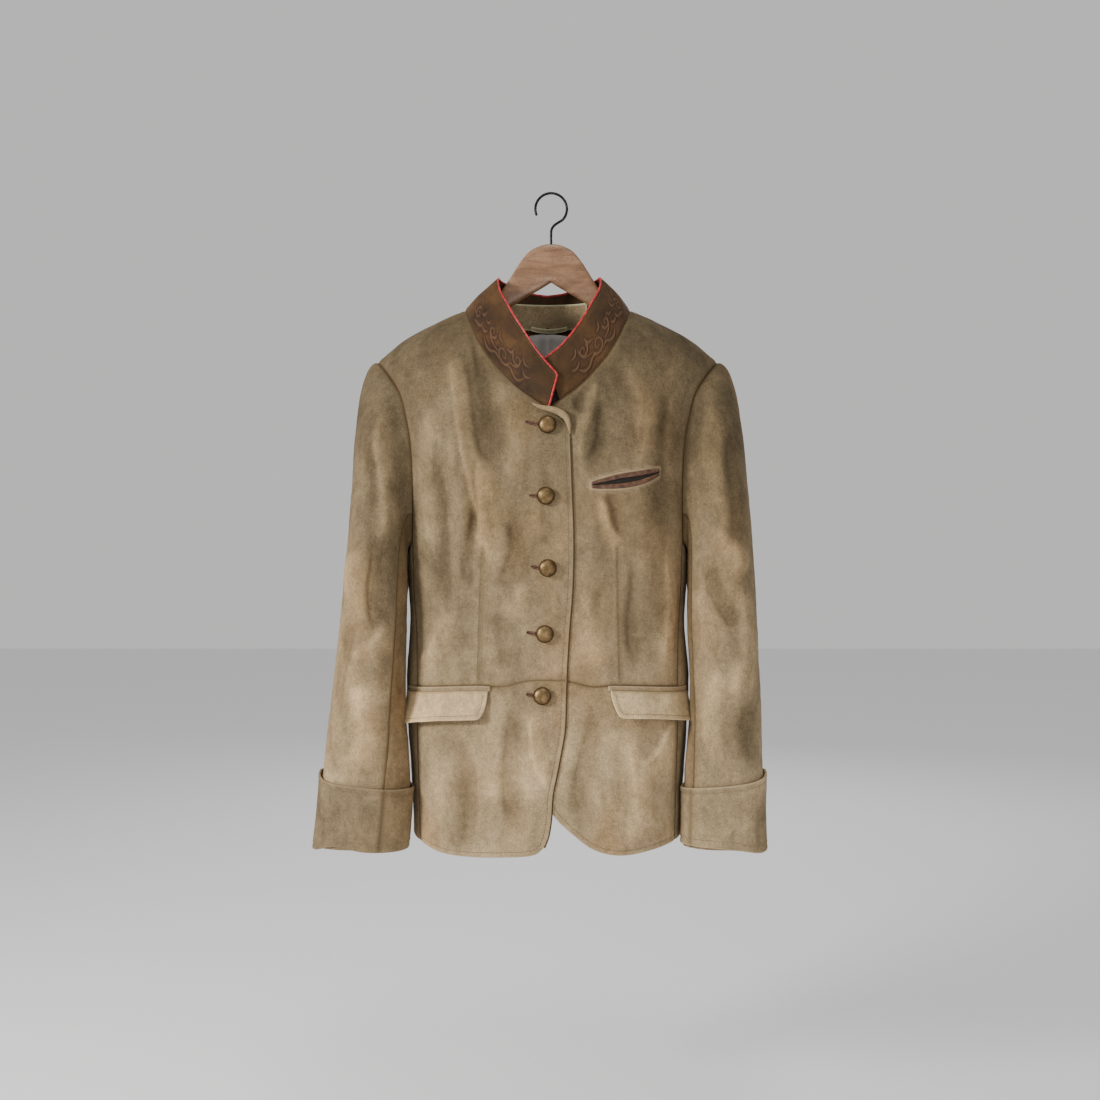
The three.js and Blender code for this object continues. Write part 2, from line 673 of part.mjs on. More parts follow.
function sleeveSection(side, drop) {
  const rows = SLEEVE[side];
  const read = (column) => through(rows, "drop", column)(drop);
  const middleOut = (read("outer") + read("inner")) / 2;
  const half = (read("outer") - read("inner")) / 2;
  const [frontTurn, backTurn] = [armholeTurn[FRONT_SEAM_AT], armholeTurn[BACK_SEAM_AT]];
  const seam = read("seam");
  const { armpit, from, hanging, to, soft } = SLEEVE_CLEARANCE;
  const clearance = mix(armpit, hanging, clamp((drop - from) / (to - from), 0, 1));
  return (turn, lift = 0) => {
    let angle = (turn * seam) / frontTurn;
    if (turn > backTurn) angle = mix(SLEEVE_BACK_SEAM, 360, (turn - backTurn) / (360 - backTurn));
    else if (turn > frontTurn) {
      angle = mix(seam, SLEEVE_BACK_SEAM, (turn - frontTurn) / (backTurn - frontTurn));
    }
    const c = Math.cos(THREE.MathUtils.degToRad(angle));
    const s = Math.sin(THREE.MathUtils.degToRad(angle));
    const r = (Math.abs(c) ** SLEEVE_SQUARE + Math.abs(s) ** SLEEVE_SQUARE) ** (-1 / SLEEVE_SQUARE);
    const y = read("middle") - (read("deep") + lift) * s * r;
    const out = middleOut + (half + lift) * c * r;
    const limit = bodySide(y, drop) + clearance - lift;
    const kept = limit + soft * Math.log1p(Math.exp((out - limit) / soft));
    return new THREE.Vector3(side * (out - limit > 8 * soft ? out : kept), y, -drop);
  };
}

function sleeveGrid(side) {
  const top = SLEEVE[side][0].drop;
  const biceps = sleeveSection(side, top);
  const below = sleeveSection(side, top + 10);
  const points = armhole.map(([angle, drop], i) => {
    const turn = armholeTurn[i];
    const start = bodyPoint(angle * side, drop).point;
    start.x += side * SLEEVE_HEAD.seam;
    const end = biceps(turn);
    const reach = start.distanceTo(end);
    const upper = Math.cos(THREE.MathUtils.degToRad(turn));
    const outwards = mix(reach * SLEEVE_HEAD.leave, SLEEVE_HEAD.puff, clamp(upper, 0, 1) ** 4);
    const leave = new THREE.Vector3(side * outwards, 0, 0);
    const arrive = below(turn).sub(end).setLength(reach * SLEEVE_HEAD.arrive);
    const ring = [];
    for (let j = 0; j <= CAP_ROWS; j += 1) {
      const t = (j / CAP_ROWS) ** 1.3;
      const point = new THREE.Vector3();
      point.addScaledVector(start, 2 * t ** 3 - 3 * t * t + 1);
      point.addScaledVector(leave, t ** 3 - 2 * t * t + t);
      point.addScaledVector(end, 3 * t * t - 2 * t ** 3);
      point.addScaledVector(arrive, t ** 3 - t * t);
      ring.push(point);
    }
    for (let j = 1; j <= ARM_ROWS; j += 1) {
      ring.push(sleeveSection(side, mix(top, SLEEVE_END_DROP, j / ARM_ROWS))(turn));
    }
    return ring;
  });
  const grid = withNormals(points, true);
  if (side === LEFT) return grid;
  for (const ring of grid) for (const corner of ring) corner.normal.negate();
  return grid;
}

const copiedCorner = ({ point, normal }) => ({ point: point.clone(), normal });
const copied = (grid) => grid.map((ring) => ring.map(copiedCorner));

function topSleeve(side) {
  const grid = sleeveGrid(side);
  const upper = [...grid.slice(BACK_SEAM_AT), ...grid.slice(0, FRONT_SEAM_AT + 1)];
  return wall(trimmed(copied(upper)), SUEDE);
}

function underSleeve(side) {
  return wall(trimmed(copied(sleeveGrid(side).slice(FRONT_SEAM_AT, BACK_SEAM_AT + 1))), SUEDE);
}

function cuff(side) {
  const topDrop = through(CUFF_TOP, "angle", "drop");
  const points = armholeTurn.map((turn) =>
    spread(CUFF_ROWS, (t) => {
      const drop = mix(topDrop(turn), CUFF.bottom, t);
      return sleeveSection(side, drop)(turn, CUFF.play + CUFF.wall + CUFF.flare * (1 - t));
    }),
  );
  const grid = withNormals(points, true);
  if (side === RIGHT) for (const ring of grid) for (const corner of ring) corner.normal.negate();
  return wall(grid, CUFF.wall, true);
}

// ---------------------------------------------------------------- collar

const COLLAR_ROWS = 3;

// Half of the collar, column by column from the middle of the back to its front end. At the foot it lies
// square to the body's cloth.
function collarHalf(side) {
  const frontCells = side === RIGHT ? FRONT_NECK.length - 1 : FRONT_NECK.length - 2;
  const seam = [
    ...BACK_NECK.slice().reverse().map((row) => bodyPoint(onBack(row)[0] * side, row.drop)),
    ...FRONT_NECK.slice(1, frontCells).map((row) =>
      bodyPoint(onFront(row)[0] * side, row.drop, lapLift(side, row.out)),
    ),
  ];
  const top = line(COLLAR_TOP[side], "out", "y", "drop");
  return seam.map((foot, i) => {
    const [out, y, drop] = top(i / (seam.length - 1));
    const head = new THREE.Vector3(side * out, y, -drop);
    const rise = head.clone().sub(foot.point);
    const start = foot.point.clone().addScaledVector(rise.normalize(), COLLAR_SEAM);
    const outward = new THREE.Vector3(start.x, start.y, 0).normalize();
    const points = spread(COLLAR_ROWS, (t) =>
      start.clone().lerp(head, t).addScaledVector(outward, COLLAR_BOW * Math.sin(Math.PI * t)),
    );
    return { points, footNormal: foot.normal };
  });
}

const collarGrid = (() => {
  const columns = [...collarHalf(RIGHT).reverse(), ...collarHalf(LEFT).slice(1)];
  const grid = withNormals(columns.map((column) => column.points));
  for (const column of grid) for (const corner of column) corner.normal.negate();
  grid.forEach((column, i) => column[0].normal.copy(columns[i].footNormal));
  return grid;
})();

function collar() {
  return wall(collarGrid, COLLAR_WALL);
}

// A round bar along a line of points, with flat ends.
function bar(points, radius, sides) {
  const positions = [];
  const last = points.length - 1;
  let across = new THREE.Vector3(0, 1, 0);
  points.forEach((point, i) => {
    const ahead = points[Math.min(i + 1, last)].clone().sub(point).normalize();
    const behind = point.clone().sub(points[Math.max(i - 1, 0)]).normalize();
    const along = ahead.add(behind).normalize();
    across = across.clone().addScaledVector(along, -across.dot(along)).normalize();
    const upright = along.clone().cross(across);
    for (let k = 0; k < sides; k += 1) {
      const angle = (2 * Math.PI * k) / sides;
      const rim = point.clone().addScaledVector(across, radius * Math.cos(angle));
      positions.push(...rim.addScaledVector(upright, radius * Math.sin(angle)).toArray());
    }
  });
  return closedLoft(positions, points.length, sides);
}

// Piping that stands on the collar's upper edge and turns down its right front end.
function collarPiping() {
  const stand = PIPING_RADIUS + PIPING_PLAY;
  const middle = ({ point, normal }) => point.clone().addScaledVector(normal, -COLLAR_WALL / 2);
  const above = collarGrid.map((column) => {
    const up = column.at(-1).point.clone().sub(column.at(-2).point).setLength(stand);
    return middle(column.at(-1)).add(up);
  });
  const away = (j) => collarGrid[0][j].point.clone().sub(collarGrid[1][j].point).setLength(stand);
  const end = collarGrid[0].map((corner, j) => middle(corner).add(away(j)));
  const turn = above[0].clone().add(away(COLLAR_ROWS));
  return bar([...end.slice(0, -1), turn, ...above.slice(1)], PIPING_RADIUS, 6);
}

// ---------------------------------------------------------------- inside the neck

// The inner face of the collar and the back, as a depth at any place.
const innerNeckDepth = (out, drop, inset) => {
  const seamDrop = BACK_NECK.at(-1).drop;
  const backDepth = bodyPoint(angleAt(out || 0.01, Math.max(drop, seamDrop), true), Math.max(drop, seamDrop));
  const t = clamp((seamDrop - drop) / (seamDrop - COLLAR_TOP[RIGHT][0].drop), 0, 1);
  const collarDepth = through(COLLAR_TOP[RIGHT].slice(0, 4), "out", "y")(Math.min(Math.abs(out), 50));
  return mix(backDepth.point.y, collarDepth, t) - inset;
};

function backFacing() {
  const inset = COLLAR_WALL + BACK_FACING.play;
  const points = spread(8, (u) =>
    spread(3, (v) => {
      const out = mix(-BACK_FACING.halfWidth, BACK_FACING.halfWidth, u);
      const rise = BACK_FACING.endRise * (out / BACK_FACING.halfWidth) ** 2;
      const drop = mix(BACK_FACING.top, BACK_FACING.bottom - rise, v);
      return new THREE.Vector3(out, innerNeckDepth(out, drop, inset), -drop);
    }),
  );
  return wall(withNormals(points), BACK_FACING.wall);
}

function backLining() {
  const inset = SUEDE + LINING.play;
  const points = spread(12, (u) =>
    spread(12, (v) => {
      const out = LINING.half * (2 * u - 1);
      const top = LINING.top + LINING.dip * (out / LINING.half) ** 2;
      const drop = mix(top, LINING.bottom, v);
      const { point, normal } = bodyPoint(angleAt(out, drop, true), drop, -inset);
      const fold = PLEAT.deep * Math.exp(-((out / PLEAT.half) ** 2)) * (1 - PLEAT.fade * v);
      return point.addScaledVector(normal, -fold);
    }),
  );
  return wall(withNormals(points), LINING.wall);
}

function hangingLoop() {
  const behind = COLLAR_WALL + BACK_FACING.play + BACK_FACING.wall + LOOP.play;
  const points = spread(8, (u) =>
    spread(1, (v) => {
      const out = mix(-LOOP.halfWidth, LOOP.halfWidth, u);
      const drop = LOOP.drop + LOOP.sag * (1 - (out / LOOP.halfWidth) ** 2) + LOOP.band * v;
      const inset = behind + LOOP.stand * Math.sin(Math.PI * u);
      return new THREE.Vector3(out + LOOP.aside, innerNeckDepth(out, drop, inset), -drop);
    }),
  );
  return wall(withNormals(points), LOOP.wall);
}

// ---------------------------------------------------------------- pockets

// A strip that lies on the body between two distances out, with its drop and lift at each place.
function onBody(side, from, to, columns, rows, dropAt, liftAt, thickness) {
  const grid = spread(columns, (u) =>
    spread(rows, (v) => {
      const out = mix(from, to, u);
      const drop = dropAt(u, v, out);
      return bodyPoint(angleAt(out, drop) * side, drop, liftAt(u, v));
    }),
  );
  return wall(grid, thickness);
}

function flapWelt(side) {
  const drop = (u, v, out) => waistDrop(out) + 2 * SEAM + WELT.height * v;
  const from = FLAP_FROM[side] - WELT.over;
  return onBody(side, from, FLAP.to, 8, 1, drop, () => WELT.wall + WELT.play, WELT.wall);
}

function flap(side) {
  const rounding = (u) => {
    const near = clamp(1 - (u * (FLAP.to - FLAP_FROM[side])) / FLAP.corner, 0, 1);
    return FLAP.corner * (1 - Math.sqrt(1 - near * near));
  };
  const top = (out) => waistDrop(out) + 2 * SEAM + WELT.height + FLAP.under;
  const drop = (u, v, out) => top(out) + (FLAP.height - rounding(u)) * v;
  const lift = (u, v) => FLAP.wall + FLAP.play + FLAP.flare * v * v;
  return onBody(side, FLAP_FROM[side], FLAP.to, 9, 3, drop, lift, FLAP.wall);
}

// One of the two strips along the breast pocket's slit: -1 above it, 1 below it.
function pocketJet(edge) {
  const { from, to, fromDrop, toDrop } = BREAST_POCKET;
  const drop = (u, v) => {
    const opened = JET.slit + JET.swell * Math.sin(Math.PI * u) ** JET.round;
    return mix(fromDrop, toDrop, u) + edge * (opened + JET.height * v);
  };
  return onBody(LEFT, from, to, 8, 1, drop, () => JET.wall + JET.play, JET.wall);
}

// ---------------------------------------------------------------- buttons

function buttonGeometry() {
  const { radius, dome, rim, edge, shank, shankHeight } = BUTTON;
  const profile = [
    new THREE.Vector2(0, 0),
    new THREE.Vector2(shank, 0),
    new THREE.Vector2(shank, shankHeight),
    new THREE.Vector2(radius - edge, shankHeight),
    new THREE.Vector2(radius, shankHeight + rim / 2),
    new THREE.Vector2(radius - edge, shankHeight + rim),
  ];
  for (const turn of [25, 50, 72]) {
    const angle = THREE.MathUtils.degToRad(turn);
    const height = shankHeight + rim + (dome - rim) * Math.sin(angle);
    profile.push(new THREE.Vector2((radius - edge) * Math.cos(angle), height));
  }
  profile.push(new THREE.Vector2(0, shankHeight + dome));
  const geometry = new THREE.LatheGeometry(profile, 12);
  geometry.deleteAttribute("normal");
  geometry.deleteAttribute("uv");
  return mergeVertices(geometry, 1e-4);
}

// ---------------------------------------------------------------- hanger

// The shoulders' inner face sets the top of the wood wherever the wood reaches it.
function hangerWood() {
  const mirrored = [...HANGER.slice(1).reverse().map((row) => ({ ...row, side: -1 })), ...HANGER];
  const positions = [];
  for (const { out, top, bottom, thick, side = 1 } of mirrored) {
    const ceiling = shoulderDrop(Math.abs(out * side - JACKET_SHIFT.x)) + SUEDE + HANGER_SIT;
    const high = Math.abs(out) > 75 ? Math.max(ceiling, top) : top;
    const centre = (high + bottom) / 2;
    for (let k = 0; k < HANGER_SIDES; k += 1) {
      const angle = (2 * Math.PI * k) / HANGER_SIDES + Math.PI / 2;
      const c = Math.cos(angle);
      const s = Math.sin(angle);
      const tall = ((bottom - high) / 2) * Math.sign(s) * Math.abs(s) ** 0.8;
      positions.push(out * side, (thick / 2) * c, -(centre - tall));
    }
  }
  return closedLoft(positions, mirrored.length, HANGER_SIDES);
}

// Rings of points joined one to the next, with flat ends.
function closedLoft(positions, rings, sides) {
  const index = [];
  for (let i = 0; i < rings - 1; i += 1) {
    for (let k = 0; k < sides; k += 1) {
      const a = i * sides + k;
      const b = i * sides + ((k + 1) % sides);
      index.push(a, b, b + sides, a, b + sides, a + sides);
    }
  }
  for (let k = 1; k < sides - 1; k += 1) {
    index.push(0, k + 1, k);
    const last = (rings - 1) * sides;
    index.push(last, last + k, last + k + 1);
  }
  return facingOut(positions, index);
}

function hook() {
  const { wire, bend, foot, neck, from, to, step } = HOOK;
  const centre = bend - wire;
  const points = [
    new THREE.Vector3(0, 0, -foot),
    new THREE.Vector3(0, 0, -neck - 8),
    new THREE.Vector3(0.4, 0, -neck),
    new THREE.Vector3(7, 0, -centre - bend + 1),
  ];
  for (let degrees = from; degrees <= to; degrees += step) {
    const angle = THREE.MathUtils.degToRad(degrees);
    points.push(new THREE.Vector3(bend * Math.cos(angle), 0, bend * Math.sin(angle) - centre));
  }
  return bar(points, wire, 8);
}

// ---------------------------------------------------------------- the whole

function material(colour, roughness, metalness = 0) {
  return new THREE.MeshStandardMaterial({ color: COLOURS[colour], roughness, metalness });
}

function piece(name, geometry, finish) {
  const mesh = new THREE.Mesh(geometry, finish);
  mesh.name = name;
  return mesh;
}

const group = new THREE.Group();
const jacket = new THREE.Group();
jacket.position.set(JACKET_SHIFT.x, JACKET_SHIFT.y, 0);
group.add(jacket);

for (const [name, side] of [["right", RIGHT], ["left", LEFT]]) {
  jacket.add(
    piece(`front_${name}_upper`, upperFront(side), material("suede", 0.95)),
    piece(`front_${name}_skirt`, skirtFront(side), material("suede", 0.95)),
    piece(`side_${name}`, sidePanel(side), material("suede", 0.95)),
    piece(`back_${name}`, backPanel(side), material("suede", 0.95)),
    piece(`top_sleeve_${name}`, topSleeve(side), material("suede", 0.95)),
    piece(`under_sleeve_${name}`, underSleeve(side), material("suede", 0.95)),
    piece(`cuff_${name}`, cuff(side), material("suede", 0.95)),
    piece(`flap_${name}`, flap(side), material("suede", 0.95)),
    piece(`flap_welt_${name}`, flapWelt(side), material("suede", 0.95)),
  );
}

jacket.add(
  piece("collar", collar(), material("collar", 0.9)),
  piece("collar_piping", collarPiping(), material("piping", 0.7)),
  piece("back_neck_facing", backFacing(), material("suede", 0.95)),
  piece("back_lining", backLining(), material("lining", 0.5)),
  piece("hanging_loop", hangingLoop(), material("suede", 0.95)),
  piece("pocket_jet_upper", pocketJet(-1), material("jet", 0.8)),
  piece("pocket_jet_lower", pocketJet(1), material("jet", 0.8)),
);

BUTTONS.forEach(({ out, drop }, i) => {
  const button = piece(`button_${i + 1}`, buttonGeometry(), material("button", 0.4, 0.8));
  const { point, normal } = bodyPoint(angleAt(-out, drop), drop, LAP + BUTTON.play);
  button.position.copy(point);
  button.quaternion.setFromUnitVectors(new THREE.Vector3(0, 1, 0), normal);
  jacket.add(button);
});

group.add(
  piece("hanger_wood", hangerWood(), material("wood", 0.5)),
  piece("hook", hook(), material("hook", 0.4, 0.9)),
);

export default group;
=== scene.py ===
# %% [markdown]
# # A suede jacket on a wooden hanger
# The jacket is cut from soft goat suede: fronts with a lap, a waist seam and skirts, side panels, backs,
# two-piece sleeves with turn-back cuffs, and a brown stand collar with red piping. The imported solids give
# every piece its place and size. This lesson makes each one again as thin cloth with turned edges, creases
# and stitches, and gives each its finish. All sizes are the real ones.

# %% The tools and the fixed solids
import json
import math

import bpy
import numpy as np
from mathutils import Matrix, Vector, geometry
from mathutils.kdtree import KDTree


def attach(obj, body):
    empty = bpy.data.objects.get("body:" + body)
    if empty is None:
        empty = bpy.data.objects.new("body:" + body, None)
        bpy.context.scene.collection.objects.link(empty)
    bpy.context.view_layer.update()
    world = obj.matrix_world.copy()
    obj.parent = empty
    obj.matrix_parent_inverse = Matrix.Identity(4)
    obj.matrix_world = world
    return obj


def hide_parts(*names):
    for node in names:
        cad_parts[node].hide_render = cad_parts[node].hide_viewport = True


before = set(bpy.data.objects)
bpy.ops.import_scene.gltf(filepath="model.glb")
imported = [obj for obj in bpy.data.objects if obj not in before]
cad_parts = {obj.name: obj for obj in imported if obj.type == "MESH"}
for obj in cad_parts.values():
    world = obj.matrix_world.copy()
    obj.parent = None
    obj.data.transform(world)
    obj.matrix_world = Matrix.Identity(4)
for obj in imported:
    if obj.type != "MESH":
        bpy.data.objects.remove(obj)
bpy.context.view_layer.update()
print("solids in the frame:", len(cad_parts))

# %% [markdown]
# ## The jacket's own coordinates
# A tailor measures from the middle of the front and down from the shoulder. Here a place is x, in
# millimetres from the middle, and a drop, in millimetres below the hook's seat. Only the last step turns
# these into the row's metres, so that every number below can be read as a tailor's measure.

# %% From the tailor's millimetres to the row's metres
MM = 0.001
JACKET_SHIFT = np.array([-4.4, -4.8, 0.0])
RIGHT, LEFT = -1, 1
SUEDE = 1.5


def in_row(points, shift=JACKET_SHIFT):
    """Points of the jacket, in millimetres, as metres in the row's frame."""
    return (np.asarray(points, float) + shift) * MM


def smooth_step(value):
    t = np.clip(value, 0.0, 1.0)
    return t * t * (3 - 2 * t)


def unit(vectors):
    return vectors / np.maximum(np.linalg.norm(vectors, axis=-1, keepdims=True), 1e-9)


print("the middle of the jacket lies", JACKET_SHIFT[0], "mm to the side of the hook")

# %% [markdown]
# ## Curves through a few measures
# A paper pattern is drawn with a flexible ruler through a few marked points. A smooth curve through table
# rows does the same: each stretch is a cubic whose slope at a mark comes from its neighbours.

# %% A flexible ruler
def through(places, values):
    places, values = np.asarray(places, float), np.asarray(values, float)
    slope = np.gradient(values, places)
    slope[1:-1] = (values[2:] - values[:-2]) / (places[2:] - places[:-2])

    def read(at):
        here = np.clip(np.asarray(at, float), places[0], places[-1])
        i = np.clip(np.searchsorted(places, here) - 1, 0, len(places) - 2)
        step = places[i + 1] - places[i]
        s = (here - places[i]) / step
        start = (2 * s**3 - 3 * s * s + 1) * values[i] + (s**3 - 2 * s * s + s) * step * slope[i]
        end = (3 * s * s - 2 * s**3) * values[i + 1] + (s**3 - s * s) * step * slope[i + 1]
        return start + end

    return read


def lengths(points):
    """How far along the line each of its points lies."""
    return np.concatenate([[0], np.cumsum(np.linalg.norm(np.diff(points, axis=0), axis=1))])


def drawn(marks, count=60):
    """A smooth line of that many points through a list of marks."""
    marks = np.asarray(marks, float)
    run = lengths(marks)
    at = np.linspace(0, run[-1], count)
    return np.stack([through(run, marks[:, k])(at) for k in range(marks.shape[1])], axis=1)


print("half way between 0, 1 and 4 at places 0, 1, 2:", float(through([0, 1, 2], [0, 1, 4])(1.5)))

# %% [markdown]
# ## The form under the cloth
# A hanging jacket is a soft tube, flat across the back and fuller in front, closed at the top by the
# shoulders. It could be sculpted, but then each seam would have to be fitted by hand. Here the tube is a
# formula: squared ovals, one for each drop, that round over towards the shoulder line. Any cut drawn on it
# lies exactly on the form.

# %% The body's measures
BODY = np.array([  # drop, half width, middle, depth in front, depth behind, squareness
    [100, 215, 4, 60, 38, 2.2],
    [140, 215, 5, 66, 41, 2.2],
    [200, 212, 6, 75, 46, 2.3],
    [270, 186, 8, 86, 49, 2.5],
    [350, 172, 10, 95, 47, 2.6],
    [450, 168, 13, 97, 38, 2.6],
    [520, 165, 15, 95, 33, 2.7],
    [577, 169, 15, 99, 38, 2.8],
    [650, 166, 15, 110, 43, 2.8],
    [700, 162, 15, 117, 46, 2.8],
    [780, 159, 15, 123, 48, 2.8],
])
half_width, middle, depth_front, depth_back, squareness = (through(BODY[:, 0], BODY[:, k]) for k in range(1, 6))
SHOULDER = np.array([[0, 118], [60, 124], [99, 141], [132, 155.5], [168, 174], [196, 195.5], [204, 202], [216, 213]])
shoulder_drop = through(SHOULDER[:, 0], SHOULDER[:, 1])
SHOULDER_ROLL = 70

# %% The large soft folds that the hanger presses into the fronts
FOLDS = [  # x and drop at the top, x and drop at the bottom, half width, rise
    (-88, 185, -52, 400, 13, 4),
    (-111, 230, -90, 440, 11, 3.5),
    (-80, 300, -76, 470, 9, -3),
    (-24, 600, -2, 740, 14, 4),
    (-120, 625, -108, 770, 22, 3.5),
    (58, 235, 38, 350, 14, 3.5),
    (56, 370, 80, 460, 13, -3),
    (112, 390, 104, 560, 15, 3),
    (70, 630, 62, 770, 20, 4),
    (128, 625, 120, 765, 15, -3),
]


def folded(x, drop):
    rise = np.zeros(np.broadcast(x, drop).shape)
    for x0, top, x1, bottom, half, height in FOLDS:
        t = (drop - top) / (bottom - top)
        inside = (t > 0) & (t < 1)
        t = np.clip(t, 0, 1)
        across = (x - (x0 + (x1 - x0) * t)) / half
        rise = rise + np.where(inside, height * np.sin(np.pi * t) ** 0.7 * np.exp(-across * across), 0)
    return rise


# %% A place on the form from an angle round it and a drop
def on_body(angle, drop):
    n, s, c = squareness(drop), np.sin(angle), np.cos(angle)
    r = (np.abs(s) ** n + np.abs(c) ** n) ** (-1 / n)
    x = half_width(drop) * s * r
    t = np.clip((drop - shoulder_drop(np.abs(x))) / SHOULDER_ROLL, 0, 1)
    ahead = c > 0
    deep = np.where(ahead, depth_front(drop), depth_back(drop)) * np.sqrt(1 - (1 - t) ** 2)
    y = middle(drop) - deep * c * r - np.where(ahead, folded(x, drop), 0)
    return np.stack(np.broadcast_arrays(x, y, -drop), axis=-1)


def angle_of(x, drop, behind=False):
    n = squareness(drop)
    u = np.minimum(np.abs(x) / half_width(drop), 0.9999)
    angle = np.arctan2(u, (1 - u**n) ** (1 / n))
    side = np.where(np.asarray(x) < 0, -1, 1)
    return side * (np.pi - angle if behind else angle)


# %% Unrolling the shoulder, so that distances on the cloth are even there too
# Near the shoulder line the cloth runs almost level, so a small drop is a long way on the cloth.
# The unrolled length takes the place of the drop while a panel is meshed.
def unrolled(angle, drop):
    x = on_body(angle, drop)[..., 0]
    top = shoulder_drop(np.abs(x))
    t = np.clip((drop - top) / SHOULDER_ROLL, 0, 1)
    return np.where(drop < top + SHOULDER_ROLL, top + SHOULDER_ROLL * np.arccos(1 - t) * 2 / np.pi, drop)


def rolled(angle, length):
    drop = length
    for _ in range(4):
        x = on_body(angle, drop)[..., 0]
        top = shoulder_drop(np.abs(x))
        phi = np.clip((length - top) / SHOULDER_ROLL, 0, 1) * np.pi / 2
        drop = np.where(length < top + SHOULDER_ROLL, top + SHOULDER_ROLL * (1 - np.cos(phi)), length)
    return drop


def body_cloth(angle, length):
    """Points of the cloth and its outward normals, from an angle and an unrolled length."""
    at = lambda a, v: on_body(a, rolled(a, v))
    here = at(angle, length)
    across = at(angle + 0.004, length) - at(angle - 0.004, length)
    down = at(angle, length + 0.8) - at(angle, length - 0.4)
    return here, unit(np.cross(down, across))


print("chest half width", float(half_width(350)), "mm; waist half width", float(half_width(577)), "mm")
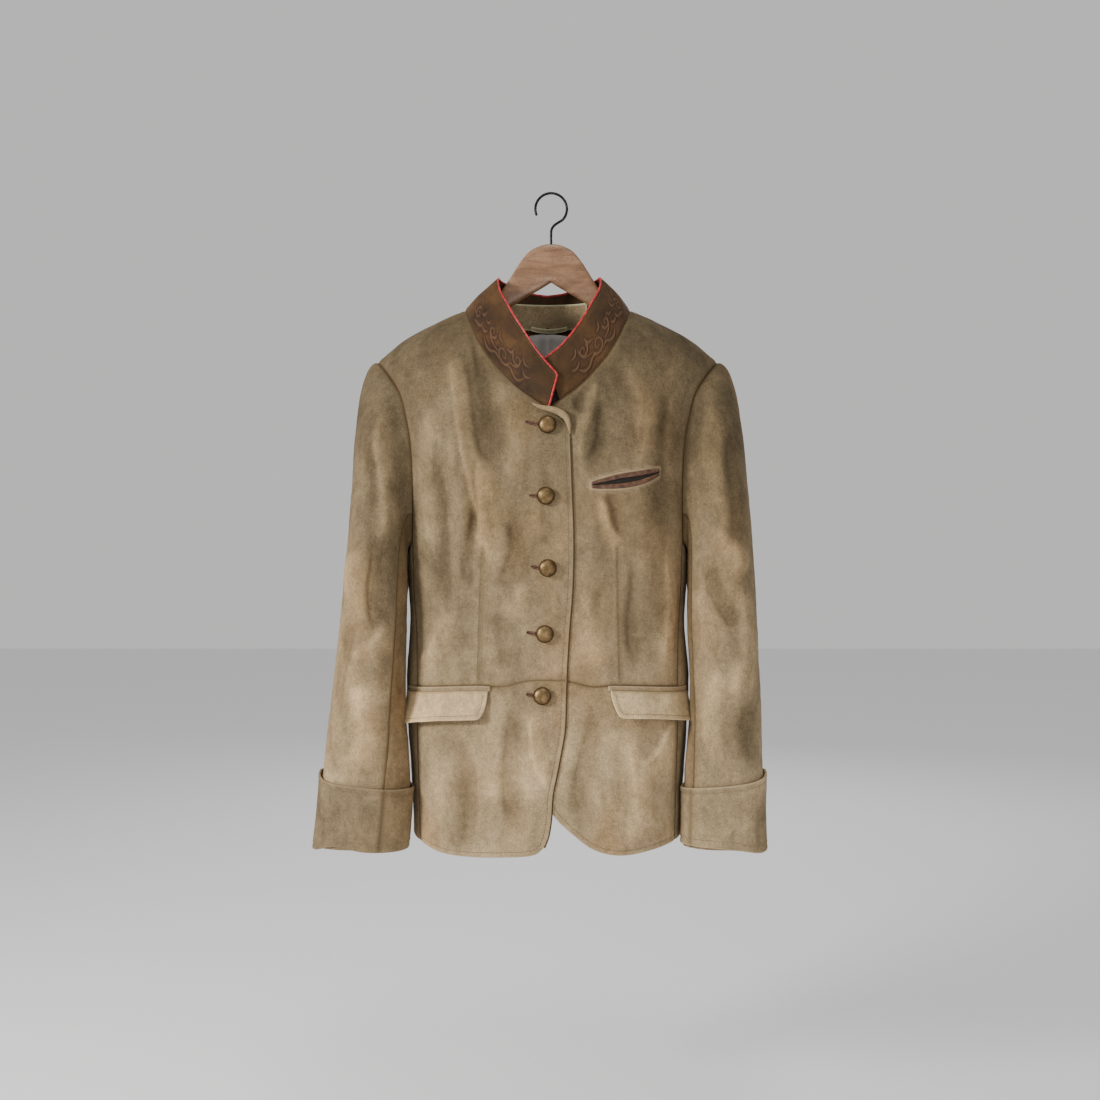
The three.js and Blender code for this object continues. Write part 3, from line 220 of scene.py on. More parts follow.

# %% [markdown]
# ## Creases and the hand of the cloth
# Suede is soft but heavy: it keeps a few long folds from the hanger, drags from the shoulder and short
# creases at the elbow and the waist. Cloth simulation would place these by chance. Here each is listed,
# as a soft trough or ridge between two places, uneven in width and height, and similar ones go on
# the back and the outer sides of the sleeves. A slow wandering unevenness over everything keeps the
# panels from looking drawn with a ruler.

# %% The crease table
# face is -1 in front, 1 behind. part is "body" or "sleeve". x and drop of both ends, half width, rise,
# and lean, which makes one flank steeper than the other.
CREASES = [
    ("body", -1, -114, 215, -66, 445, 6.5, 1.9, 0.75),
    ("body", -1, -86, 168, -72, 335, 5.5, -1.6, 0.7),
    ("body", -1, -75, 320, -74, 424, 4.5, 1.3, 0.75),
    ("body", -1, 54, 232, 38, 335, 7, 1.6, -0.6),
    ("body", -1, 60, 366, 88, 412, 7, -1.7, 0.5),
    ("body", -1, -27, 612, 2, 695, 8, 1.5, 0.7),
    ("body", -1, 152, 625, 104, 676, 9, 1.5, 0.6),
    ("body", -1, -97, 205, -70, 330, 5.5, -1.6, 0.5),
    ("body", -1, -72, 345, -73, 430, 5, 1.5, 0.3),
    ("body", -1, -84, 380, -88, 470, 5, -1.8, -0.4),
    ("body", -1, -140, 260, -128, 430, 9, 1.3, 0.2),
    ("body", -1, -124, 300, -116, 500, 7, -1.4, -0.3),
    ("body", -1, -48, 250, -30, 350, 9, 1.6, 0.0),
    ("body", -1, -30, 395, -52, 470, 10, -1.7, 0.3),
    ("body", -1, -18, 470, -44, 500, 8, 1.4, 0.0),
    ("body", -1, -100, 500, -150, 560, 10, 1.2, 0.2),
    ("body", -1, -66, 500, -36, 560, 9, -1.3, 0.2),
    ("body", -1, -46, 600, -40, 735, 8, -1.6, 0.4),
    ("body", -1, -92, 640, -84, 760, 10, -1.4, -0.3),
    ("body", -1, 44, 238, 26, 268, 8, -2.2, 0.2),
    ("body", -1, 64, 262, 50, 330, 6, -1.5, 0.3),
    ("body", -1, 96, 210, 120, 330, 10, 1.5, 0.2),
    ("body", -1, 138, 250, 128, 400, 8, -1.6, -0.3),
    ("body", -1, 62, 365, 84, 430, 6, 1.6, -0.4),
    ("body", -1, 92, 440, 100, 560, 7, -1.5, 0.3),
    ("body", -1, 140, 430, 136, 560, 6, 1.4, 0.3),
    ("body", -1, 36, 480, 60, 560, 9, 1.2, 0.0),
    ("body", -1, 48, 600, 36, 730, 9, -1.5, 0.3),
    ("body", -1, 96, 640, 100, 760, 9, 1.4, 0.2),
    ("body", 1, -64, 190, -84, 420, 12, 2.6, 0.3),
    ("body", 1, -110, 230, -98, 470, 10, -2.4, -0.3),
    ("body", 1, -30, 240, -20, 520, 13, 2.0, 0.0),
    ("body", 1, -60, 500, -96, 580, 9, -2.0, 0.3),
    ("body", 1, -40, 585, -56, 745, 14, 2.8, 0.2),
    ("body", 1, -104, 590, -116, 745, 12, -2.4, 0.0),
    ("body", 1, 58, 195, 88, 430, 12, -2.4, 0.3),
    ("body", 1, 106, 235, 112, 470, 10, 2.4, 0.2),
    ("body", 1, 26, 300, 34, 540, 11, -1.8, 0.0),
    ("body", 1, 70, 490, 104, 575, 9, 2.0, -0.3),
    ("body", 1, 44, 600, 62, 748, 13, -2.6, 0.3),
    ("body", 1, 112, 590, 108, 750, 12, 2.6, 0.2),
    ("sleeve", -1, -188, 262, -196, 420, 9, 1.8, 0.3),
    ("sleeve", -1, -205, 300, -190, 440, 7, -1.7, -0.3),
    ("sleeve", -1, -196, 420, -196, 520, 7, -2.4, 0.5),
    ("sleeve", -1, -214, 430, -240, 476, 9, 1.8, 0.2),
    ("sleeve", -1, -180, 510, -214, 552, 8, 1.9, 0.3),
    ("sleeve", -1, -228, 500, -238, 620, 9, -1.4, 0.2),
    ("sleeve", -1, -200, 580, -214, 672, 10, 1.5, 0.0),
    ("sleeve", -1, 188, 262, 200, 410, 10, 1.9, 0.3),
    ("sleeve", -1, 214, 290, 206, 430, 8, -1.7, 0.3),
    ("sleeve", -1, 196, 400, 226, 452, 8, 2.0, -0.3),
    ("sleeve", -1, 182, 450, 206, 520, 8, -2.2, 0.4),
    ("sleeve", -1, 228, 470, 214, 600, 10, 1.6, 0.2),
    ("sleeve", -1, 186, 560, 196, 670, 9, 1.5, -0.3),
    ("sleeve", -1, 226, 600, 232, 676, 9, -1.4, 0.0),
    ("sleeve", 1, -204, 280, -212, 440, 11, -2.4, 0.3),
    ("sleeve", 1, -186, 440, -232, 486, 9, 2.6, 0.3),
    ("sleeve", 1, -190, 500, -236, 520, 8, -2.2, 0.0),
    ("sleeve", 1, -216, 540, -208, 680, 12, 2.0, 0.2),
    ("sleeve", 1, 204, 270, 208, 430, 11, 2.4, 0.2),
    ("sleeve", 1, 186, 452, 230, 470, 8, -2.4, 0.0),
    ("sleeve", 1, 188, 486, 232, 520, 9, 2.4, 0.3),
    ("sleeve", 1, 210, 550, 204, 680, 12, -2.0, 0.2),
]


# %% Slow unevenness and the sum of the creases
def wandering(points, size, seed):
    """Smooth noise from -1 to 1 that changes over about that many millimetres."""
    rng = np.random.default_rng(seed)
    total = np.zeros(points.shape[:-1])
    for _ in range(9):
        direction = rng.normal(size=3)
        direction /= np.linalg.norm(direction) * rng.uniform(0.7, 1.4)
        total += np.sin(points @ direction * (2 * np.pi / size) + rng.uniform(0, 2 * np.pi))
    return total / 4.2


LAP_EDGE = [(287, 25), (417, 29), (575, 21.5), (656, 15), (700, 6), (757, -3.5)]  # drop, x


def creased(points, normals, part):
    """How far the creases lift the cloth along its normal."""
    x, drop = points[..., 0], -points[..., 2]
    lift = 0.45 * wandering(points, 46, 3) + 0.22 * wandering(points, 19, 5)
    for where, face, x0, top, x1, bottom, half, rise, lean in CREASES:
        if where != part:
            continue
        run = np.array([x1 - x0, bottom - top], float)
        length = np.linalg.norm(run)
        run /= length
        t = ((x - x0) * run[0] + (drop - top) * run[1]) / length
        aside = (x - x0) * run[1] - (drop - top) * run[0] + half * 0.5 * np.sin(5.5 * t + x0)
        wide = half * np.where(aside > 0, 1 + lean, 1 - lean) * (0.95 + 0.55 * t)
        ends = smooth_step((t + 0.12) / 0.35) * smooth_step((1.12 - t) / 0.35)
        facing = smooth_step(face * normals[..., 1] * 1.6 - 0.1)
        gain = 1.0 if part == "body" and face > 0 else 2.1
        lift = lift + gain * rise * ends * facing * np.exp(-((aside / wide) ** 2))
    if part == "body":
        # both fronts lie smooth along the edge of the lap, or one would come up through the other
        at_lap = smooth_step(np.abs(x - np.interp(drop, *np.array(LAP_EDGE).T)) / 14)
        lift = lift * np.where(normals[..., 1] < 0, at_lap, 1)
    return np.maximum(lift, np.where(normals[..., 1] > 0.2, -2.4, -3.2))


print("creases placed by hand:", len(CREASES))

# %% [markdown]
# ## Cutting a panel
# A cutter lays a paper shape on the hide and cuts along it. A panel here is made the same way: its outline
# is drawn on the form, filled with evenly spaced points and joined into small triangles. A plain grid
# stretched between four edges is quicker, but it wrinkles where a neck meets a shoulder. The skin is then
# given a thickness, and its edges are rounded: deep and tight where it is sewn to the next panel, and full
# where the suede is turned under and stitched.

# %% Resampling an edge, and the distance from it
def spaced(points, gap):
    """Row numbers, with fractions, that are evenly spaced along a line of points."""
    run = lengths(points)
    count = max(int(round(run[-1] / gap)), 1)
    return np.interp(np.linspace(0, run[-1], count + 1), run, np.arange(len(points)))


def between_rows(rows, at):
    low = np.clip(at.astype(int), 0, len(rows) - 2)
    return rows[low] + (rows[low + 1] - rows[low]) * (at - low)[:, None]


def distance_to_pieces(points, pieces):
    """The distance of each point from the nearest of many short straight pieces."""
    nearest = np.full(len(points), 1e9)
    starts, steps = pieces[:, 0], pieces[:, 1] - pieces[:, 0]
    lengths = np.maximum((steps**2).sum(1), 1e-12)
    for first in range(0, len(points), 400):
        gap = points[first:first + 400, None, :] - starts[None]
        t = np.clip((gap * steps).sum(2) / lengths, 0, 1)
        nearest[first:first + 400] = np.linalg.norm(gap - t[..., None] * steps, axis=2).min(1)
    return nearest


def distance_to(points, line):
    return distance_to_pieces(points, np.stack([line[:-1], line[1:]], axis=1))


def inside(places, outline):
    x, y = places[:, :1], places[:, 1:2]
    ax, ay = outline[:, 0], outline[:, 1]
    bx, by = np.roll(ax, -1), np.roll(ay, -1)
    crossing = ((ay > y) != (by > y)) & (x < (bx - ax) * (y - ay) / np.where(by == ay, 1e-12, by - ay) + ax)
    return crossing.sum(1) % 2 == 1


above = distance_to(np.array([[1.0, 3]]), np.array([[0.0, 0], [2, 0]]))
print("a point 3 above the middle of a line is", float(above[0]), "away from it")


# %% A mesh object that rides with the jacket
def as_object(name, vertices, faces, finish, masks=None, smooth=True):
    """faces is a list of arrays of triangles or of quads. masks are values at each vertex for the finish."""
    mesh = bpy.data.meshes.new(name)
    corners = np.concatenate([f.ravel() for f in faces]).astype(np.int32)
    sizes = np.concatenate([np.full(len(f), f.shape[1]) for f in faces]).astype(np.int32)
    mesh.vertices.add(len(vertices))
    mesh.vertices.foreach_set("co", np.asarray(vertices, np.float32).ravel())
    mesh.loops.add(len(corners))
    mesh.loops.foreach_set("vertex_index", corners)
    mesh.polygons.add(len(sizes))
    mesh.polygons.foreach_set("loop_start", (np.cumsum(sizes) - sizes).astype(np.int32))
    mesh.polygons.foreach_set("use_smooth", np.full(len(sizes), smooth))
    mesh.update(calc_edges=True)
    mesh.validate()
    for mask, values in (masks or {}).items():
        attribute = mesh.attributes.new(mask, "FLOAT", "POINT")
        attribute.data.foreach_set("value", np.asarray(values, np.float32))
    mesh.materials.append(finish)
    piece = bpy.data.objects.new(name, mesh)
    bpy.context.scene.collection.objects.link(piece)
    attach(piece, "root")
    return piece


def cloth_area(points, triangles):
    a, b, c = (points[triangles[:, k]] for k in range(3))
    return float(np.linalg.norm(np.cross(b - a, c - a), axis=1).sum() / 2)


# %% Declaring a piece of cloth and the solid that it stands for
cut_sizes = {}


def declare_cloth(piece, node, area, flat):
    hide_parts(node)
    cut_sizes[piece.name] = {"flat_m": list(flat), "area_m2": round(area, 4)}


# %% The edge of a sewn or turned piece
def rounded(free, deep, width):
    """How far a turned rim falls away over its last millimetres."""
    return deep * (1 - np.sqrt(1 - (1 - np.clip(free / width, 0, 1)) ** 2))


def edge_drop(seam, free, turned=5.5):
    """How far the cloth dips at a seam, at its rim and in its stitched line, in millimetres."""
    valley = 1.0 * np.exp(-((seam / 1.4) ** 1.4)) + 0.3 * np.exp(-((seam / 5.0) ** 2))
    rim = rounded(free, 0.75, 0.9)
    groove = 0.42 * np.exp(-(((free - turned) / 0.9) ** 2)) - 0.18 * np.exp(-(((free - 2.6) / 1.7) ** 2))
    return valley + rim + groove


def skin(points, normals, to_seam, to_free, part, thick, stand=0.0, more=0.0, edge_shape=edge_drop, crease=1.0):
    """The outer and inner face of the cloth round a smooth surface, and the values for its finish."""
    raised = creased(points, normals, part) if part else 0.3 * wandering(points, 30, 7)
    raised = raised * crease * smooth_step(np.minimum(to_seam, to_free) / 14)
    pucker = 0.28 * wandering(points, 7.5, 11) * np.exp(-(((to_seam - 3) / 3.5) ** 2))
    outer = points + normals * (stand + raised + pucker - edge_shape(to_seam, to_free) + more)[..., None]
    inner = points + normals * (stand + raised * 0.6 - thick)[..., None]
    # painted light and shade: the edge mask darkens the cloth next to its seams, and the fold mask, from the creases'
    # rise, lightens their ridges and darkens their troughs. The rim mask lightens the last millimetres of a turned
    # edge.
    masks = {"edge": 0.85 * np.exp(-to_seam / 1.9), "rim": 0.45 * np.exp(-((to_free / 1.3) ** 2)),
             "worn": np.clip(0.5 + raised / 7, 0, 1)}
    return outer, inner, masks


def panel(name, edges, surface, part, cell=2.6, thick=SUEDE, lift=None, extra=None, finish=None,
          edge_shape=edge_drop, dart=None, trim=None):
    """Cuts a panel. edges is a closed round of (kind, angles and lengths), kind being "seam" or "free"."""
    loop, kinds = [], []
    for kind, marks in edges:
        loop.append(between_rows(marks, spaced(surface(marks[:, 0], marks[:, 1])[0], cell * 0.7))[:-1])
        kinds += [kind] * len(loop[-1])
    loop, kinds = np.concatenate(loop), np.array(kinds)
    rim = surface(loop[:, 0], loop[:, 1])[0]
    closed = np.concatenate([rim, rim[:1]])
    # how many millimetres one unit of angle and one of length are, at the rim
    wide = np.linalg.norm(surface(loop[:, 0] + 0.01, loop[:, 1])[0] - surface(loop[:, 0] - 0.01, loop[:, 1])[0], axis=1)
    tall = np.linalg.norm(surface(loop[:, 0], loop[:, 1] + 1)[0] - surface(loop[:, 0], loop[:, 1] - 1)[0], axis=1)
    scale = np.stack([np.maximum(wide / 0.02, 40), np.maximum(tall / 2, 0.4)], axis=1)
    ahead = (np.roll(loop, -1, axis=0) - np.roll(loop, 1, axis=0)) * scale
    turn = np.sum(loop[:, 0] * np.roll(loop[:, 1], -1) - np.roll(loop[:, 0], -1) * loop[:, 1])
    inward = unit(np.stack([-ahead[:, 1], ahead[:, 0]], axis=1)) * np.sign(turn)
    depths = [d for d in (0.45, 1.1, 2.2) if d < cell]
    kept = []
    for depth in depths:
        ring = loop + inward * depth / scale
        ring = ring[inside(ring, loop)]
        kept.append(ring[distance_to(surface(ring[:, 0], ring[:, 1])[0], closed) > depth * 0.8])
    even = np.array([np.mean(scale[:, 0]), 1.0])
    low, high = loop.min(0), loop.max(0)
    fill = np.stack(np.meshgrid(np.arange(low[0], high[0], cell / even[0]), np.arange(low[1], high[1], cell * 0.87)),
                    axis=-1)
    fill[1::2, :, 0] += cell / even[0] / 2
    fill = fill.reshape(-1, 2)
    fill = fill[inside(fill, loop)]
    fill = fill[distance_to(surface(fill[:, 0], fill[:, 1])[0], closed) > depths[-1] + cell * 0.55]
    places = np.concatenate([loop, *kept, fill])
    around = [(i, (i + 1) % len(loop)) for i in range(len(loop))]
    made = geometry.delaunay_2d_cdt([Vector(p * even) for p in places], around, [], 1, 1e-5)
    places, triangles = np.array([list(v) for v in made[0]]) / even, np.array(made[2], int)
    points, normals = surface(places[:, 0], places[:, 1])
    away = {kind: np.full(len(points), 99.0) for kind in ("seam", "free")}
    for kind in away:
        pieces = [closed[i:i + 2] for i in np.where(kinds == kind)[0]]
        if pieces:
            away[kind] = distance_to_pieces(points, np.array(pieces))
    more = 0 if extra is None else extra(points, places)
    if dart is not None:
        beside = distance_to(points, surface(dart[:, 0], dart[:, 1])[0])
        more = more + 0.35 * np.exp(-((beside - 3) / 1.8) ** 2) - 0.9 * np.exp(-((beside / 0.9) ** 2))
    if trim is not None:
        near_trim = distance_to(points, surface(trim[:, 0], trim[:, 1])[0])
        more = more + 0.55 * smooth_step((4.6 - near_trim) / 1.2) - 0.35 * np.exp(-((near_trim - 3.0) / 0.7) ** 2)
    outer, inner, masks = skin(points, normals, away["seam"], away["free"], part, thick,
                               0 if lift is None else lift(points, places), more, edge_shape)
    if trim is not None:
        masks["rim"] = np.maximum(masks["rim"], 0.4 * smooth_step((4.4 - near_trim) / 1.0))
    # painted shade: the dart's groove is darkened through the edge mask
    if dart is not None:
        masks["edge"] = np.maximum(masks["edge"], 0.8 * np.exp(-beside / 1.6))
    facing = np.cross(outer[triangles[:, 1]] - outer[triangles[:, 0]], outer[triangles[:, 2]] - outer[triangles[:, 0]])
    if (facing * normals[triangles[:, 0]]).sum() < 0:
        triangles = triangles[:, ::-1]
    sides = np.concatenate([triangles[:, [0, 1]], triangles[:, [1, 2]], triangles[:, [2, 0]]])
    total = len(points)
    border = sides[~np.isin(sides[:, 0] * total + sides[:, 1], sides[:, 1] * total + sides[:, 0])]
    wall = np.stack([border[:, 1], border[:, 0], border[:, 0] + total, border[:, 1] + total], axis=1)
    masks = {key: np.concatenate([values, values]) for key, values in masks.items()}
    piece = as_object(name, in_row(np.concatenate([outer, inner])), [triangles, triangles[:, ::-1] + total, wall],
                      finish, masks)
    area = cloth_area(outer * MM, triangles)
    print(f"{name}: {len(triangles)} triangles a side, {area * 1e4:.0f} cm2")
    return piece, area, (points, normals, outer)


# %% [markdown]
# ## Tubes, strips and bands
# Sleeves, cuffs, the collar and the hanger are rows of rings or strips. Their points come from a grid, so
# a simple wall round the grid makes them: outer face, inner face and the rims between.

# %% A wall round a grid of points
def tube_quads(rings, corners):
    """The faces between rings that follow each other and have the same number of corners."""
    i, k = np.meshgrid(np.arange(rings - 1), np.arange(corners), indexing="ij")
    a, b = i * corners + k, i * corners + (k + 1) % corners
    return np.stack([a, b, b + corners, a + corners], axis=-1).reshape(-1, 4)


def end_quads(first, corners, flip=False):
    """Faces that close a ring whose first corner has that number."""
    j = np.arange(corners // 2 - 1)
    quads = first + np.stack([j, j + 1, corners - 2 - j, corners - 1 - j], axis=1)
    return quads[:, [1, 0, 3, 2]] if flip else quads


def grid_wall(outer, inner, closed=False):
    """Vertices and quads of a closed wall. The grids are [across][along]; closed joins the first and last."""
    columns, rows = outer.shape[:2]
    total = columns * rows
    vertices = np.concatenate([outer.reshape(-1, 3), inner.reshape(-1, 3)])
    i = np.arange(columns if closed else columns - 1)
    j = np.arange(rows - 1)
    ii, jj = np.meshgrid(i, j, indexing="ij")
    a, b = ii * rows + jj, ((ii + 1) % columns) * rows + jj
    quads = [np.stack([a, b, b + 1, a + 1], axis=-1).reshape(-1, 4)]
    quads.append(np.stack([a, a + 1, b + 1, b], axis=-1).reshape(-1, 4) + total)
    top, next_top = i * rows, ((i + 1) % columns) * rows
    end, next_end = top + rows - 1, next_top + rows - 1
    quads.append(np.stack([top, top + total, next_top + total, next_top], axis=-1))
    quads.append(np.stack([end, next_end, next_end + total, end + total], axis=-1))
    if not closed:
        first = j
        last = (columns - 1) * rows + j
        quads.append(np.stack([first, first + 1, first + 1 + total, first + total], axis=-1))
        quads.append(np.stack([last, last + total, last + 1 + total, last + 1], axis=-1))
    return vertices, quads


def grid_normals(points, closed=False):
    if closed:
        across = np.roll(points, -1, axis=0) - np.roll(points, 1, axis=0)
    else:
        across = np.gradient(points, axis=0)
    return unit(np.cross(across, np.gradient(points, axis=1)))


def grid_area(points, closed=False):
    if closed:
        points = np.concatenate([points, points[:1]])
    a = np.cross(points[1:, :-1] - points[:-1, :-1], points[:-1, 1:] - points[:-1, :-1])
    return float(np.linalg.norm(a, axis=-1).sum()) * MM * MM


# %% [markdown]
# ## Stitches
# Fine beige thread is sewn about 3 mm a stitch, 5 to 6 mm inside the turned edges and in pairs along
# the darts. Each stitch is a real short bar of thread, half sunk in the suede. A bump pattern would be
# lighter, but it vanishes in a grazing light.

# %% A row of stitches
def bar_shape():
    rings, corners = [(-1.0, 0.35), (-0.72, 0.9), (0.0, 1.0), (0.72, 0.9), (1.0, 0.35)], 6
    angle = np.arange(corners) * 2 * np.pi / corners
    points = [[along, wide * np.cos(a), wide * np.sin(a)] for along, wide in rings for a in angle]
    quads = [[r * corners + k, r * corners + (k + 1) % corners, (r + 1) * corners + (k + 1) % corners,
              (r + 1) * corners + k] for r in range(4) for k in range(corners)]
    ends = [[0, 5, 4, 3], [0, 3, 2, 1], [24, 25, 26, 27], [24, 27, 28, 29]]
    return np.array(points), np.array(quads + ends)


STITCH, STITCH_FACES = bar_shape()


def sewn(line, normals, pitch=3.0, length=2.2, thick=0.32, sink=0.1):
    """Vertices and faces of stitches along a line of points with the cloth's normals there."""
    at = spaced(line, pitch)
    at = (at[:-1] + at[1:]) / 2
    place = between_rows(line, at)
    up = unit(between_rows(normals, at))
    ahead = between_rows(line, np.minimum(at + 0.4, len(line) - 1)) - between_rows(line, np.maximum(at - 0.4, 0))
    ahead = unit(ahead - up * (ahead * up).sum(1)[:, None])
    side = np.cross(up, ahead)
    wobble = 0.06 * np.sin(np.arange(len(place)) * 2.4)[:, None]
    centre = place + up * (thick * 0.55 - sink) + side * wobble
    points = (centre[:, None] + ahead[:, None] * STITCH[None, :, :1] * (length / 2)
              + side[:, None] * STITCH[None, :, 1:2] * thick + up[:, None] * STITCH[None, :, 2:3] * thick)
    faces = STITCH_FACES[None] + (np.arange(len(place)) * len(STITCH))[:, None, None]
    return points.reshape(-1, 3), faces.reshape(-1, 4)


def joined(parts):
    vertices, faces, start = [], [], 0
    for points, quads in parts:
        vertices.append(points)
        faces.append(quads + start)
        start += len(points)
    return np.concatenate(vertices), np.concatenate(faces)


def bars(name, parts, finish, masks=None):
    """One object of many bars or stitches. masks gives a value for all of its points."""
    vertices, quads = joined(parts)
    values = {mask: np.broadcast_to(value, len(vertices)) for mask, value in (masks or {}).items()}
    return as_object(name, in_row(vertices), [quads], finish, values)


print("one stitch has", len(STITCH), "corners")

# %% [markdown]
# ## The finish of suede
# Suede is the flesh side of the hide, sanded to a nap. It has no gloss at all: its fibres catch light
# along their sides, so it brightens where it turns away. The colour is never even. Where a hand has
# stroked the nap it lies darker or lighter in cloudy patches, warm ochre in one and cool olive in the
# next, and short streaks show which way it was brushed. Layers of noise in three sizes give the clouds.
# Masks that each panel carries add painted shade in its seams and in the troughs of its creases, and
# painted light on the crease ridges; they also lighten the last millimetres of its turned rims. The
# height adds painted shade towards the shoulders and painted light towards the hem.

# %% Helpers for a finish
def new_finish(name, roughness, **sockets):
    finish = bpy.data.materials.new(name)
    finish.use_nodes = True
    shader = finish.node_tree.nodes["Principled BSDF"]
    shader.inputs["Roughness"].default_value = roughness
    for socket, value in sockets.items():
        shader.inputs[socket.replace("_", " ")].default_value = value
    return finish, shader


def node(finish, kind, links=(), **settings):
    made = finish.node_tree.nodes.new("ShaderNode" + kind)
    for setting, value in settings.items():
        if setting in made.inputs.keys():
            made.inputs[setting].default_value = value
        elif setting.replace("_", " ") in made.inputs.keys():
            made.inputs[setting.replace("_", " ")].default_value = value
        else:
            setattr(made, setting, value)
    for source, socket in links:
        finish.node_tree.links.new(source, made.inputs[socket])
    return made


def linear(red, green, blue):
    """A colour as it is seen, from 0 to 255, as a shader takes it."""
    return tuple(((c / 255 + 0.055) / 1.055) ** 2.4 if c > 10 else c / 3294 for c in (red, green, blue)) + (1.0,)


def ramp(finish, value, stops):
    made = node(finish, "ValToRGB", [(value, "Fac")])
    bar = made.color_ramp
    bar.elements[0].position, bar.elements[0].color = stops[0]
    bar.elements[1].position, bar.elements[1].color = stops[-1]
    for place, colour in stops[1:-1]:
        element = bar.elements.new(place)
        element.color = colour
    return made.outputs["Color"]


def mixed(finish, share, a, b, blend="MIX"):
    made = node(finish, "Mix", data_type="RGBA", blend_type=blend)
    for value, socket in ((share, 0), (a, 6), (b, 7)):
        if hasattr(value, "is_linked"):
            finish.node_tree.links.new(value, made.inputs[socket])
        else:
            made.inputs[socket].default_value = value
    return made.outputs[2]


def mask(finish, name):
    return node(finish, "Attribute", attribute_name=name).outputs["Fac"]


def bumped(finish, shader, height, strength, distance, below=None):
    made = node(finish, "Bump", [(height, "Height")], Strength=strength, Distance=distance)
    if below is not None:
        finish.node_tree.links.new(below, made.inputs["Normal"])
    finish.node_tree.links.new(made.outputs["Normal"], shader.inputs["Normal"])
    return made.outputs["Normal"]


# %% Napped suede in one dye lot
def suede_finish(name, tone=1.0, warmth=0.0, seed=0.0):
    finish, shader = new_finish(name, 0.93, Sheen_Weight=0.07, Sheen_Roughness=0.4,
                                Specular_IOR_Level=0.08)
    shader.inputs["Sheen Tint"].default_value = linear(232, 214, 184)
    place = node(finish, "TexCoord").outputs["Object"]
    moved = node(finish, "Mapping", [(place, "Vector")], Location=(seed, seed * 0.7, seed * 1.3)).outputs["Vector"]
    streak = node(finish, "Mapping", [(place, "Vector")], Location=(seed, 0, 0),
                  Scale=(1.0, 1.0, 0.42)).outputs["Vector"]
    cloud = node(finish, "TexNoise", [(moved, "Vector")], Scale=13.0, Detail=3.0, Roughness=0.55,
                 Distortion=0.6).outputs["Fac"]
    hue = node(finish, "TexNoise", [(streak, "Vector")], Scale=9.0, Detail=2.0, Roughness=0.5,
               Distortion=0.4).outputs["Fac"]
    smudge = node(finish, "TexNoise", [(streak, "Vector")], Scale=46.0, Detail=4.0, Roughness=0.6,
                  Distortion=0.35).outputs["Fac"]
    grain = node(finish, "TexNoise", [(moved, "Vector")], Scale=520.0, Detail=3.0, Roughness=0.7).outputs["Fac"]
    fibre = node(finish, "TexNoise", [(streak, "Vector")], Scale=1900.0, Detail=1.0, Roughness=0.6).outputs["Fac"]
    dim = lambda r, g, b: linear(min(r * tone + warmth, 255), g * tone, max(b * tone - warmth, 0))
    base = ramp(finish, cloud, [(0.3, dim(116, 98, 73)), (0.44, dim(136, 117, 90)), (0.56, dim(150, 130, 101)),
                                (0.7, dim(170, 149, 117))])
    ochre = ramp(finish, hue, [(0.36, dim(122, 109, 85)), (0.5, dim(148, 129, 100)), (0.66, dim(174, 142, 102))])
    colour = mixed(finish, 0.4, base, ochre)
    colour = mixed(finish, 1.0, colour, ramp(finish, smudge, [(0.3, (0.76, 0.755, 0.75, 1)), (0.5, (1, 1, 1, 1)),
                                                            (0.7, (1.17, 1.16, 1.14, 1))]), "MULTIPLY")
    speck = node(finish, "TexNoise", [(moved, "Vector")], Scale=150.0, Detail=4.0, Roughness=0.7).outputs["Fac"]
    colour = mixed(finish, 1.0, colour, ramp(finish, speck, [
        (0.3, (0.82, 0.82, 0.81, 1)), (0.7, (1.14, 1.14, 1.13, 1))]), "MULTIPLY")
    colour = mixed(finish, 1.0, colour, ramp(finish, grain, [
        (0.3, (0.72, 0.72, 0.71, 1)), (0.7, (1.22, 1.22, 1.22, 1))]), "MULTIPLY")
    # painted light and shade: crease ridges lighter and crease troughs darker, from the fold mask
    colour = mixed(finish, 1.0, colour, ramp(finish, mask(finish, "worn"), [
        (0.2, (0.68, 0.67, 0.66, 1)), (0.5, (1, 1, 1, 1)), (0.8, (1.4, 1.37, 1.33, 1))]), "MULTIPLY")
    # painted light and shade: by height the suede is darkened towards the shoulders and lightened towards the hem, for
    # light that falls mostly on the lower part
    height = node(finish, "SeparateXYZ", [(place, "Vector")]).outputs["Z"]
    painted_height_shade = node(finish, "MapRange", [(height, "Value")]).outputs["Result"]
    painted_height_shade.node.inputs["From Min"].default_value, painted_height_shade.node.inputs["From Max"].default_value = -0.78, -0.1
    colour = mixed(finish, 1.0, colour, ramp(finish, painted_height_shade, [
        (0.0, (1.14, 1.14, 1.14, 1)), (0.3, (1.0, 1.0, 1.0, 1)), (0.6, (0.62, 0.62, 0.61, 1)),
        (0.9, (0.36, 0.36, 0.355, 1))]), "MULTIPLY")
    # painted shade: the edge mask darkens the suede in its seams and along its dart lines
    colour = mixed(finish, mask(finish, "edge"), colour, dim(98, 82, 58))
    colour = mixed(finish, mask(finish, "rim"), colour, dim(186, 164, 130))
    finish.node_tree.links.new(colour, shader.inputs["Base Color"])
    first = bumped(finish, shader, grain, 0.35, 0.0005)
    bumped(finish, shader, fibre, 0.25, 0.00025, first)
    return finish


